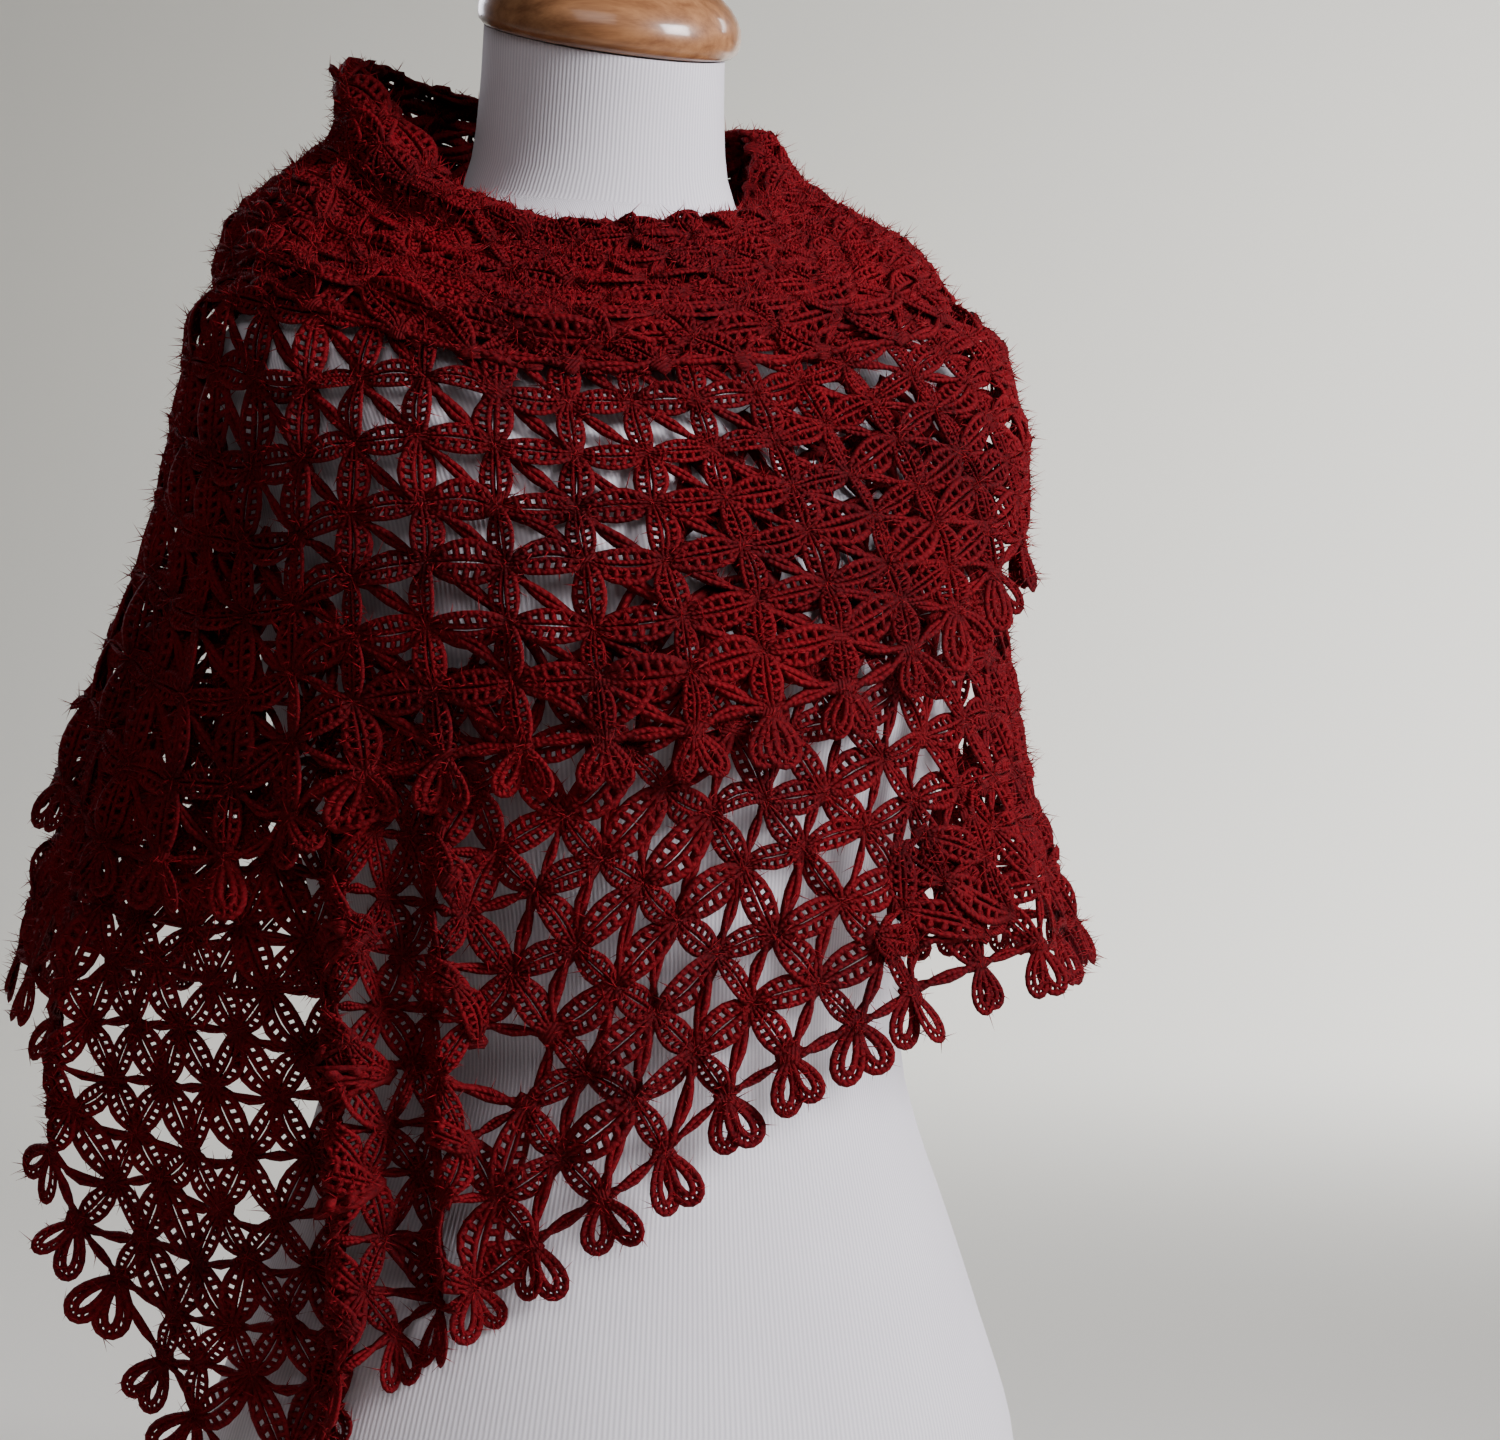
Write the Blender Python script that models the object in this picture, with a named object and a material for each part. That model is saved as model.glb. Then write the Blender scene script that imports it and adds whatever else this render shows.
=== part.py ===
"""A crocheted lace shawl, wound round a limbless dress form with a wooden neck cap.

The scene is in metres with +Z up, and the values below are millimetres unless they say otherwise. The
origin is on the table, in the middle of the whole part's box. Bearings and radii are taken round the
axis of the neck. A bearing is in degrees: 0 points at the viewer (-Y), 90 at the viewer's right (+X)
and 180 straight back (+Y).
"""

import math

import bmesh
import bpy
from mathutils import Matrix, Vector
from mathutils.bvhtree import BVHTree

MM = 0.001
MERGE = 0.01  # points of the spun cap nearer than this are one

# Place of the neck's axis, which the bearings turn about, from the middle of the whole part's box
NECK_AXIS_X = 20.6
NECK_AXIS_Y = 13.4

# Driving dimensions of the dress form
FORM_TURN = 30.0  # bearing that the form's front faces
FORM_SIDES = 36
NECK_RADIUS = 54.0
NECK_TOP = 720.0
NECK_SLANT = 17.0  # degrees that the top of the neck dips to the front
TALLEST_BAND = 50.0  # a taller span between two sections gets one more ring

# height, half width, front depth, back depth, slant of the section in degrees
FORM_SECTIONS = (
    (0, 180, 152, 88, 0),
    (45, 190, 160, 91, 0),
    (90, 193, 164, 92, 0),
    (153, 172, 156, 84, 0),
    (198, 155, 149, 75, 0),
    (232, 141, 144, 68, 0),
    (265, 132, 141, 64, 0),
    (320, 136, 143, 67, 0),
    (390, 152, 150, 77, 0),
    (450, 163, 162, 86, 0),
    (500, 170, 152, 92, 0),
    (540, 178, 126, 95, 0),
    (568, 183, 100, 93, 0),
    (586, 176, 84, 88, 0),
    (600, 150, 74, 82, 0),
    (614, 115, 67, 76, 2),
    (628, 85, 60, 70, 4),
    (644, 66, 54, 66, 7),
    (660, 58, 53, 63, 10),
    (690, 55, 55, 55, 14),
    (NECK_TOP, NECK_RADIUS, 59, 49, NECK_SLANT),
)

# Turned profile of the neck cap, from its flat underside to its knob: radius, height above the neck
CAP_PROFILE = (
    (0, 0.4),
    (55, 0.4),
    (59, 5),
    (59.5, 11),
    (56, 19),
    (48, 27),
    (35, 33),
    (16, 36.5),
    (13.5, 39),
    (15.5, 45),
    (11, 52),
    (0, 54.5),
)
CAP_SIDES = 28

# Driving dimensions of the shawl
WALL = 2.6  # thickness of the fuzzy crocheted fabric
CLEAR = 0.45  # least gap between two faces that lie on each other
FORM_SLACK = 0.5  # more gap over the form, whose facets are wide
SHEET_SLACK = 0.3  # more gap over another sheet, whose wall is thicker on its folds
PETAL_SLACK = 2.0  # more gap under the petals, which are single wide faces
REACH = 50.0  # how deep inside the surface under it a point can be found
SMOOTHING = (0.0, 0.15, 0.1)  # how far each pass draws a point to the middle of its neighbours
SPAN_SHARES = (0.0, 0.25, 0.5, 0.75, 1.0)  # places tested across and down each cell
LAP_COLUMNS = 2  # columns worked out past each end of a closed sheet, so that the ends meet smoothly
SEAM = 0.8  # gap between two stretches of the same sheet
PETAL_PITCH = 18.0  # two petals to a flower
PETAL_LENGTH = 22.0

# Share of the petal's pitch, share of its length: the edge away from its twin comes first
PETAL_OUTLINE = ((0.22, 0.45), (0.38, 0.86), (0.58, 1.0), (0.78, 0.86), (0.92, 0.45))

# Lower sheet. Its radius at the heights below, then its top edge and its hem.
LOWER_HEIGHTS = (580, 470, 380, 300, 200, 80)
# bearing, radius at each of the heights, top, hem
LOWER_SHEET = (
    (-180, 100, 112, 120, 132, 140, 145, 575, 306),
    (-150, 95, 104, 114, 128, 138, 145, 575, 304),
    (-120, 108, 138, 172, 202, 216, 225, 575, 306),
    (-90, 146, 190, 232, 254, 262, 268, 572, 314),
    (-77, 166, 194, 233, 254, 260, 264, 568, 306),
    (-70, 176, 195, 230, 248, 250, 252, 558, 286),
    (-66, 180, 194, 226, 241, 240, 240, 550, 238),
    (-63, 182, 193, 221, 235, 232, 230, 545, 192),
    (-58, 184, 191, 215, 226, 220, 215, 535, 154),
    (-52, 179, 188, 205, 212, 206, 201, 515, 114),
    (-45, 169, 184, 194, 198, 192, 187, 490, 97),
    (-37, 154, 178, 185, 186, 180, 175, 470, 124),
    (-28, 140, 171, 178, 178, 172, 168, 458, 154),
    (-17, 127, 167, 172, 171, 165, 162, 455, 172),
    (-5, 115, 166, 170, 168, 162, 160, 457, 200),
    (12, 108, 166, 170, 167, 162, 160, 462, 240),
    (25, 106, 166, 170, 168, 165, 163, 480, 270),
    (40, 110, 166, 173, 178, 180, 182, 520, 290),
    (55, 122, 167, 180, 196, 206, 210, 560, 309),
    (70, 138, 171, 188, 212, 223, 228, 568, 321),
    (90, 155, 177, 194, 220, 232, 237, 572, 324),
    (120, 184, 182, 192, 208, 220, 225, 575, 322),
    (150, 140, 150, 158, 170, 180, 185, 575, 314),
)

# Folds of the lower sheet
# bearing, half its width in degrees, depth (a trough is negative), where it starts, where it is full, lean in degrees
LOWER_FOLDS = (
    (-18.5, 3.2, 13, 410, 300, 0),
    (-24, 3.5, -8, 410, 300, 0),
    (-30.5, 4.8, 25, 400, 270, -0.5),
    (-37, 3.5, -8, 400, 270, 0),
    (-49, 5.0, 4, 360, 240, 0),
    (-65, 3.6, 14, 390, 290, 0),
    (-71, 4.0, -6, 400, 300, 0),
    (-82, 5.0, 5, 400, 320, 0),
    (-100, 9.0, 9, 420, 320, 0),
    (-128, 10.0, 8, 420, 320, 0),
    (-160, 10.0, 7, 440, 320, 0),
    (168, 9.0, 7, 440, 320, 0),
    (138, 9.0, 8, 440, 330, 0),
    (108, 8.0, 8, 440, 330, 0),
    (84, 7.0, -7, 430, 330, 0),
    (66, 6.0, 9, 410, 340, 0),
    (48, 6.0, -6, 400, 310, 0),
    (30, 7.0, 5, 380, 280, 0),
    (4, 8.0, 5, 360, 240, 0),
)

# Upper turn: five points down each section, as radius and height
# bearing, top, shoulder, upper arm, chest, hem
UPPER_SHEET = (
    (-180, 74, 640, 97, 602, 109, 562, 116, 510, 126, 450),
    (-150, 74, 640, 96, 602, 105, 562, 111, 500, 124, 425),
    (-120, 78, 640, 120, 608, 138, 570, 154, 500, 184, 405),
    (-90, 82, 636, 166, 602, 181, 567, 197, 490, 233, 398),
    (-75, 82, 634, 176, 600, 187, 562, 202, 482, 236, 384),
    (-62, 82, 632, 178, 598, 188, 556, 198, 470, 226, 360),
    (-44, 82, 630, 158, 594, 178, 549, 189, 470, 204, 360),
    (-37, 80, 628, 144, 592, 170, 548, 185, 470, 192, 382),
    (-25, 79, 625, 130, 590, 161, 548, 178, 470, 182, 396),
    (-6, 78, 620, 112, 590, 143, 545, 172, 470, 177, 404),
    (15, 78, 620, 110, 590, 139, 545, 172, 470, 177, 410),
    (28, 78, 622, 111, 590, 139, 545, 172, 474, 177, 420),
    (43, 80, 624, 117, 590, 143, 548, 173, 492, 180, 436),
    (60, 82, 628, 131, 592, 161, 555, 182, 512, 188, 470),
    (73, 82, 630, 146, 594, 176, 556, 188, 524, 192, 491),
    (90, 82, 634, 163, 594, 186, 556, 191, 525, 188, 497),
    (120, 82, 638, 183, 598, 194, 560, 194, 525, 194, 498),
    (150, 78, 640, 134, 605, 153, 565, 160, 520, 168, 480),
)

UPPER_FOLDS = (
    (-128, 10.0, 5, 560, 430, 0),
    (-100, 8.0, -4, 560, 430, 0),
    (-82, 6.0, 5, 560, 430, 0),
    (-68, 6.0, -4, 540, 420, 0),
    (-54, 6.0, 6, 520, 400, 0),
    (-34, 6.0, 4, 480, 400, 0),
    (108, 9.0, 4, 580, 510, 0),
    (140, 10.0, 5, 580, 500, 0),
    (172, 10.0, 5, 560, 470, 0),
)

# Cowl and collar: five points down each section, as radius and height
# bearing, edge at the neck, crest, trough, roll, tucked edge
COWL = (
    (-180, 86, 690, 97, 684, 105, 656, 113, 628, 119, 604),
    (-150, 92, 700, 103, 694, 109, 660, 113, 630, 118, 604),
    (-120, 104, 710, 114, 705, 119, 669, 136, 640, 148, 612),
    (-100, 114, 713, 122, 707, 127, 677, 158, 648, 171, 618),
    (-90, 108, 706, 119, 702, 129, 672, 162, 643, 173, 614),
    (-80, 94, 686, 112, 692, 130, 664, 162, 636, 172, 610),
    (-70, 79, 662, 100, 674, 128, 652, 158, 630, 167, 604),
    (-60, 70, 646, 92, 655, 122, 637, 158, 619, 171, 603),
    (-40, 66, 634, 86, 641, 114, 622, 148, 603, 158, 584),
    (-20, 63, 626, 83, 630, 103, 609, 136, 589, 136, 567),
    (0, 62, 623, 82, 626, 97, 605, 128, 584, 125, 562),
    (30, 62, 627, 82, 629, 95, 608, 123, 587, 120, 566),
    (60, 62, 634, 84, 637, 101, 618, 128, 598, 133, 578),
    (90, 64, 642, 80, 648, 112, 640, 139, 624, 152, 602),
    (120, 78, 682, 90, 679, 112, 653, 150, 626, 168, 606),
    (150, 84, 686, 96, 681, 109, 654, 128, 627, 138, 608),
)

# Each stretch starts at its bearing and ends where the next one starts.
# name, first bearing, columns to a petal
LOWER_STRETCHES = (("left_cascade", -80, 2), ("lower_front", -12, 1), ("back_sheet", 100, 1))
UPPER_STRETCHES = (("chest_wrap", -98, 1), ("back_wrap", 96, 1))
# name, first bearing, columns
COWL_STRETCHES = (("cowl_front", -74, 31), ("collar_back", 98, 28))
LOWER_ROWS = 8
UPPER_ROWS = 8
COWL_ROWS = 11


def material(name, colour, roughness, metallic=0.0):
    """A plain finish: linear colour, roughness and metallic value."""
    finish = bpy.data.materials.new(name)
    finish.use_nodes = True
    shader = finish.node_tree.nodes["Principled BSDF"]
    shader.inputs["Base Color"].default_value = (*colour, 1.0)
    shader.inputs["Roughness"].default_value = roughness
    shader.inputs["Metallic"].default_value = metallic
    return finish


def smooth_value(knots, values, at):
    """A smooth curve through values at rising knots, read at one place."""
    last = len(knots) - 1
    i = min(max(sum(knot <= at for knot in knots) - 1, 0), last - 1)
    before, after = max(i - 1, 0), min(i + 2, last)
    step = knots[i + 1] - knots[i]
    t = (at - knots[i]) / step
    slope_a = (values[i + 1] - values[before]) / (knots[i + 1] - knots[before]) * step
    slope_b = (values[after] - values[i]) / (knots[after] - knots[i]) * step
    a, b = values[i], values[i + 1]
    return (
        (2 * t**3 - 3 * t**2 + 1) * a
        + (t**3 - 2 * t**2 + t) * slope_a
        + (3 * t**2 - 2 * t**3) * b
        + (t**3 - t**2) * slope_b
    )


def round_row(table, bearing):
    """A row of a table, read smoothly between its bearings all the way round."""
    turns = [(row[0] + lap, row[1:]) for lap in (-360, 0, 360) for row in table]
    knots = [knot for knot, _ in turns]
    near = sum(knot <= bearing for knot in knots)
    few = turns[near - 3 : near + 3]
    few_knots = [knot for knot, _ in few]
    return [smooth_value(few_knots, [row[c] for _, row in few], bearing) for c in range(len(table[0]) - 1)]


def wrapped(bearing):
    """The same bearing between -180 and 180 degrees."""
    return (bearing + 180) % 360 - 180


def fold_depth(folds, bearing, height):
    """How far the folds push a point out, and how far they lean it, at one place."""
    depth = lean = 0.0
    for at, half_width, deep, start, full, tilt in folds:
        aside = abs(wrapped(bearing - at)) / half_width
        if aside < 1:
            share = 0.5 * (1 + math.cos(math.pi * aside))
            share *= min(max((start - height) / (start - full), 0.0), 1.0)
            depth += share * deep
            lean += share * tilt
    return depth, lean


def polar(bearing, radius, height):
    """A point in metres from a bearing in degrees and millimetres."""
    angle = math.radians(bearing)
    return Vector((radius * math.sin(angle), -radius * math.cos(angle), height)) * MM


def lower_point(bearing, down):
    """A point of the lower sheet, from 0 at its top edge to 1 at its hem."""
    *radii, top, hem = round_row(LOWER_SHEET, bearing)
    height = top + (hem - top) * down
    radius = smooth_value(LOWER_HEIGHTS[::-1], radii[::-1], height)
    depth, lean = fold_depth(LOWER_FOLDS, bearing, height)
    return polar(bearing + lean, radius + depth, height)


def section_point(table, folds, bearing, down):
    """A point of a sheet whose sections are given by five radius and height pairs."""
    row = round_row(table, bearing)
    knots = [0, 0.25, 0.5, 0.75, 1]
    radius = smooth_value(knots, row[0::2], down)
    height = smooth_value(knots, row[1::2], down)
    depth, lean = fold_depth(folds, bearing, height)
    return polar(bearing + lean, radius + depth, height)


def upper_point(bearing, down):
    return section_point(UPPER_SHEET, UPPER_FOLDS, bearing, down)


def cowl_point(bearing, down):
    return section_point(COWL, (), bearing, down)


def lift(point, under, gap):
    """The point, moved out where it is inside the surface under it or nearer to it than the gap."""
    outward = Vector((point.x, point.y, 0)).normalized()
    reach = REACH * MM
    hit, _, _, _ = under.ray_cast(point + outward * reach, -outward, reach)
    if hit:
        point = hit + outward * (gap * MM)
    place, normal, _, _ = under.find_nearest(point)
    offset = point - place
    out = offset.dot(normal)
    aside = (offset - normal * out).length
    if out < gap * MM and aside < gap * MM:
        return point + normal * (gap * MM - out)
    return point


def raise_spans(grid, unders):
    """Raises the corners of each cell until nothing between them is too near to what is under it."""
    for i in range(len(grid) - 1):
        for j in range(len(grid[0]) - 1):
            corners = ((i, j), (i + 1, j), (i, j + 1), (i + 1, j + 1))
            for across in SPAN_SHARES:
                for down in SPAN_SHARES:
                    weights = (
                        (1 - across) * (1 - down),
                        across * (1 - down),
                        (1 - across) * down,
                        across * down,
                    )
                    point = sum((grid[a][b] * w for (a, b), w in zip(corners, weights)), Vector())
                    raised = point
                    for under, gap in unders:
                        raised = lift(raised, under, gap)
                    if raised != point:
                        for (a, b), w in zip(corners, weights):
                            grid[a][b] = grid[a][b] + (raised - point) * (w / max(weights))


def settled(grid, unders):
    """The grid of points, smoothed a little and clear of the surfaces under it."""
    for smoothing in SMOOTHING:
        before = [list(column) for column in grid]
        for i, column in enumerate(grid):
            for j, point in enumerate(column):
                if 0 < i < len(grid) - 1 and 0 < j < len(column) - 1:
                    around = before[i - 1][j] + before[i + 1][j] + before[i][j - 1] + before[i][j + 1]
                    point = point.lerp(around / 4, smoothing)
                for under, gap in unders:
                    point = lift(point, under, gap)
                column[j] = point
        raise_spans(grid, unders)
    return grid


def even_bearings(point_at, first, last, count):
    """Bearings that part the hem between first and last into equal lengths."""
    fine = 6 * count
    bearings = [first + (last - first) * k / fine for k in range(fine + 1)]
    points = [point_at(bearing, 1.0) for bearing in bearings]
    run = [0.0]
    for a, b in zip(points, points[1:]):
        run.append(run[-1] + (b.xy - a.xy).length)
    found = []
    for k in range(count + 1):
        target = run[-1] * k / count
        i = min(max(sum(length <= target for length in run) - 1, 0), fine - 1)
        share = (target - run[i]) / (run[i + 1] - run[i])
        found.append(bearings[i] + (bearings[i + 1] - bearings[i]) * share)
    return found


def hem_length(point_at, first, last):
    """The length in millimetres of the hem between two bearings, seen from above."""
    steps = 240
    points = [point_at(first + (last - first) * k / steps, 1.0) for k in range(steps + 1)]
    return sum((b.xy - a.xy).length for a, b in zip(points, points[1:])) / MM


def closed_grid(point_at, bearings, rows, unders):
    """The settled grid of a sheet that goes all the way round, its last column on its first."""
    ahead = [bearing - 360 for bearing in bearings[-1 - LAP_COLUMNS : -1]]
    behind = [bearing + 360 for bearing in bearings[1 : 1 + LAP_COLUMNS]]
    turn = ahead + bearings + behind
    grid = [[point_at(bearing, j / rows) for j in range(rows + 1)] for bearing in turn]
    grid = settled(grid, unders)[LAP_COLUMNS:-LAP_COLUMNS]
    grid[-1] = list(grid[0])
    return grid


def stretch_of(grid, first, last):
    """The columns from first to last, drawn in at both ends by half a seam."""
    columns = [list(column) for column in grid[first : last + 1]]
    for end, inner in ((0, 1), (-1, -2)):
        for j, point in enumerate(columns[end]):
            inward = (columns[inner][j] - point).normalized()
            columns[end][j] = point + inward * (SEAM / 2 * MM)
    return columns


def share_along(values, along):
    """A value read at a share of the way along a few evenly spaced ones."""
    place = along * (len(values) - 1)
    i = min(int(place), len(values) - 2)
    return values[i].lerp(values[i + 1], place - i)


def petal_edge(hem, downs, outline, unders):
    """The points of a petal's outline below a few points of the hem."""
    edge = []
    for along, length in outline:
        down = share_along(downs, along).normalized()
        point = share_along(hem, along) + down * (length * PETAL_LENGTH * MM)
        for under, gap in unders:
            point = lift(point, under, gap + PETAL_SLACK)
        edge.append(point)
    return edge


def sheet_mesh(name, grid, columns_to_a_petal=0, unders=()):
    """A one-sided mesh over a grid of points, with petals along the hem if it has them."""
    mesh = bmesh.new()
    rows = [[mesh.verts.new(point) for point in column] for column in grid]
    last_row = len(grid[0]) - 1
    for left, right in zip(rows, rows[1:]):
        for j in range(last_row):
            mesh.faces.new((left[j], left[j + 1], right[j + 1], right[j]))
    if columns_to_a_petal:
        add_petals(mesh, rows, last_row, columns_to_a_petal, unders)
    data = bpy.data.meshes.new(name)
    mesh.to_mesh(data)
    mesh.free()
    return data


def add_petals(mesh, rows, last_row, columns_to_a_petal, unders):
    """Petals below the last row: each flower is a pair of petals that lean on each other."""
    downs = [(column[last_row].co - column[last_row - 1].co).normalized() for column in rows]
    for number, first in enumerate(range(0, len(rows) - 1, columns_to_a_petal)):
        outline = PETAL_OUTLINE
        if number % 2:
            outline = tuple((1 - along, length) for along, length in reversed(PETAL_OUTLINE))
        last = first + columns_to_a_petal
        hem = [column[last_row] for column in rows[first : last + 1]]
        points = petal_edge([vertex.co for vertex in hem], downs[first : last + 1], outline, unders)
        edge = [mesh.verts.new(point) for point in points]
        if len(hem) == 2:
            mesh.faces.new([hem[1], hem[0], *edge])
        else:
            tip = len(edge) // 2
            mesh.faces.new([hem[1], hem[0], *edge[: tip + 1]])
            mesh.faces.new([hem[2], hem[1], *edge[tip:]])


def add_wall(obj):
    """The fabric's thickness, half of it on each side of the sheet."""
    wall = obj.modifiers.new("Wall", "SOLIDIFY")
    wall.thickness = WALL * MM
    wall.offset = 0.0
    wall.use_even_offset = False
    wall.use_quality_normals = True


def add_object(name, data, finish, parent):
    """An object of one finish, linked to the scene and held by its parent."""
    data.materials.append(finish)
    data.shade_smooth()
    obj = bpy.data.objects.new(name, data)
    bpy.context.scene.collection.objects.link(obj)
    obj.parent = parent
    return obj


def tree_of(meshes):
    """A search tree over the faces of some meshes."""
    points, faces = [], []
    for data in meshes:
        start = len(points)
        points += [vertex.co.copy() for vertex in data.vertices]
        faces += [[start + v for v in face.vertices] for face in data.polygons]
    return BVHTree.FromPolygons(points, faces)


def form_ring(height, half_width, front, back, slant):
    """One section of the form: an oval with its own depth in front and behind."""
    ring = []
    for k in range(FORM_SIDES):
        angle = 2 * math.pi * k / FORM_SIDES
        depth = front if math.cos(angle) > 0 else back
        across = half_width * math.sin(angle)
        forward = depth * math.cos(angle)
        rise = -math.tan(math.radians(slant)) * forward
        ring.append(Vector((across, -forward, height + rise)) * MM)
    turn = Matrix.Rotation(math.radians(FORM_TURN), 3, "Z")
    return [turn @ point for point in ring]


def form_mesh():
    """The torso and neck, lofted through sections read smoothly from the table."""
    knots = [row[0] for row in FORM_SECTIONS]
    heights = []
    for low, high in zip(knots, knots[1:]):
        parts = 2 if high - low > TALLEST_BAND else 1
        heights += [low + (high - low) * k / parts for k in range(parts)]
    heights.append(knots[-1])
    mesh = bmesh.new()
    rings = []
    for height in heights:
        row = [smooth_value(knots, [section[c] for section in FORM_SECTIONS], height) for c in range(5)]
        rings.append([mesh.verts.new(point) for point in form_ring(*row)])
    for low, high in zip(rings, rings[1:]):
        for k in range(FORM_SIDES):
            n = (k + 1) % FORM_SIDES
            mesh.faces.new((low[k], low[n], high[n], high[k]))
    mesh.faces.new(rings[0][::-1])
    mesh.faces.new(rings[-1])
    data = bpy.data.meshes.new("dress_form")
    mesh.to_mesh(data)
    mesh.free()
    return data


def cap_mesh():
    """The turned cap, spun about its own axis and set on the slanted neck."""
    mesh = bmesh.new()
    profile = [mesh.verts.new(Vector((radius, 0, height)) * MM) for radius, height in CAP_PROFILE]
    for low, high in zip(profile, profile[1:]):
        mesh.edges.new((low, high))
    bmesh.ops.spin(
        mesh,
        geom=mesh.verts[:] + mesh.edges[:],
        cent=(0, 0, 0),
        axis=(0, 0, 1),
        angle=2 * math.pi,
        steps=CAP_SIDES,
        use_merge=True,
    )
    bmesh.ops.remove_doubles(mesh, verts=mesh.verts, dist=MERGE * MM)
    bmesh.ops.recalc_face_normals(mesh, faces=mesh.faces)
    neck_centre = (FORM_SECTIONS[-1][2] - FORM_SECTIONS[-1][3]) / 2
    seat = NECK_TOP - neck_centre * math.tan(math.radians(NECK_SLANT))
    turn = Matrix.Rotation(math.radians(FORM_TURN), 4, "Z")
    place = Matrix.Translation(Vector((0, -neck_centre, seat)) * MM)
    tip = Matrix.Rotation(math.radians(NECK_SLANT), 4, "X")
    bmesh.ops.transform(mesh, matrix=turn @ place @ tip, verts=mesh.verts)
    data = bpy.data.meshes.new("neck_cap")
    mesh.to_mesh(data)
    mesh.free()
    return data


def next_starts(stretches):
    """The bearing where each stretch ends: the start of the next, one turn on for the last."""
    return [row[1] for row in stretches[1:]] + [stretches[0][1] + 360]


def petal_sheets(stretches, point_at, rows, unders):
    """The meshes of a sheet's stretches, each with whole flowers along its hem."""
    bearings, ends = [], [0]
    for (_, first, columns_to_a_petal), last in zip(stretches, next_starts(stretches)):
        petals = 2 * round(hem_length(point_at, first, last) / (2 * PETAL_PITCH))
        part = even_bearings(point_at, first, last, petals * columns_to_a_petal)
        bearings += part if not bearings else part[1:]
        ends.append(len(bearings) - 1)
    grid = closed_grid(point_at, bearings, rows, unders)
    meshes = []
    for (name, _, columns_to_a_petal), a, b in zip(stretches, ends, ends[1:]):
        meshes.append(sheet_mesh(name, stretch_of(grid, a, b), columns_to_a_petal, unders))
    return meshes


def cowl_sheets(unders):
    """The meshes of the cowl and the collar."""
    bearings, ends = [COWL_STRETCHES[0][1]], [0]
    for (_, first, columns), last in zip(COWL_STRETCHES, next_starts(COWL_STRETCHES)):
        bearings += [first + (last - first) * (k + 1) / columns for k in range(columns)]
        ends.append(len(bearings) - 1)
    grid = closed_grid(cowl_point, bearings, COWL_ROWS, unders)
    stretches = zip(COWL_STRETCHES, ends, ends[1:])
    return [sheet_mesh(name, stretch_of(grid, a, b)) for (name, _, _), a, b in stretches]


def main():
    for obj in list(bpy.data.objects):
        bpy.data.objects.remove(obj)

    jersey = material("white_ribbed_jersey", (0.78, 0.76, 0.78), 0.9)
    wood = material("varnished_beech", (0.44, 0.2, 0.07), 0.28)
    yarn = material("deep_red_mohair_yarn", (0.16, 0.006, 0.012), 0.95)

    shawl_on_form = bpy.data.objects.new("shawl_on_form", None)
    bpy.context.scene.collection.objects.link(shawl_on_form)

    form = form_mesh()
    add_object("dress_form", form, jersey, shawl_on_form)
    add_object("neck_cap", cap_mesh(), wood, shawl_on_form)

    on_form = WALL / 2 + CLEAR + FORM_SLACK
    on_sheet = WALL + CLEAR + SHEET_SLACK
    under_lower = [(tree_of([form]), on_form)]
    lower = petal_sheets(LOWER_STRETCHES, lower_point, LOWER_ROWS, under_lower)
    under_upper = [*under_lower, (tree_of(lower), on_sheet)]
    upper = petal_sheets(UPPER_STRETCHES, upper_point, UPPER_ROWS, under_upper)
    cowl = cowl_sheets([*under_lower, (tree_of(upper), on_sheet)])
    for data in lower + upper + cowl:
        add_wall(add_object(data.name, data, yarn, shawl_on_form))
    shawl_on_form.location = Vector((NECK_AXIS_X, NECK_AXIS_Y, 0)) * MM


main()
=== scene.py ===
# %% [markdown]
# # A lace shawl wound on a dress form
#
# The real object is a large triangle of flower lace, crocheted in a deep red mohair yarn. It is wound in
# layers round a limbless dress form with a white jersey cover and a turned wooden cap on its neck.
#
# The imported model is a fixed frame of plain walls. This lesson dresses it: the form and its cap are
# made again with smooth surfaces, and every wall of cloth becomes a net of yarn that follows it.

import math

import bmesh
import bpy
import numpy as np
from mathutils import Matrix, Vector
from mathutils.bvhtree import BVHTree
from mathutils.geometry import delaunay_2d_cdt


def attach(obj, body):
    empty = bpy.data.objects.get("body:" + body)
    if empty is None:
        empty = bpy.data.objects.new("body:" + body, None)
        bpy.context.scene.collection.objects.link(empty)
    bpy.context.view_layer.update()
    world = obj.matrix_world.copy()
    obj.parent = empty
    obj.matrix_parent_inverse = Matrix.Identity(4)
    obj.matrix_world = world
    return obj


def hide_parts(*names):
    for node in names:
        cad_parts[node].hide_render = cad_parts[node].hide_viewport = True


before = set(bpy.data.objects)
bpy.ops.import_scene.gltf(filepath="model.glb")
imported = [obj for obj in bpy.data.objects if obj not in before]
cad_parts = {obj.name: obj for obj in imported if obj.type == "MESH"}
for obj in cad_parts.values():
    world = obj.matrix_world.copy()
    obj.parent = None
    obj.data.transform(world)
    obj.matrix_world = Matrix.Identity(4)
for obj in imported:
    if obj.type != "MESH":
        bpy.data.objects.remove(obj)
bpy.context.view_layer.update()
chance = np.random.default_rng(7)
print("frame:", sorted(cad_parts))

# %% [markdown]
# ## Units and the neck's axis
#
# Sizes are in millimetres and become metres where a point is made. The shawl is wound round the neck, so
# a place on it is a bearing round the neck's axis, in degrees to the right from the side that faces the
# camera, with a radius and a height. The walls in the frame come from short tables of such places, and
# this lesson reads the same tables. It makes a finer grid from them, because yarn shows every corner of
# what it lies on.

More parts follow.
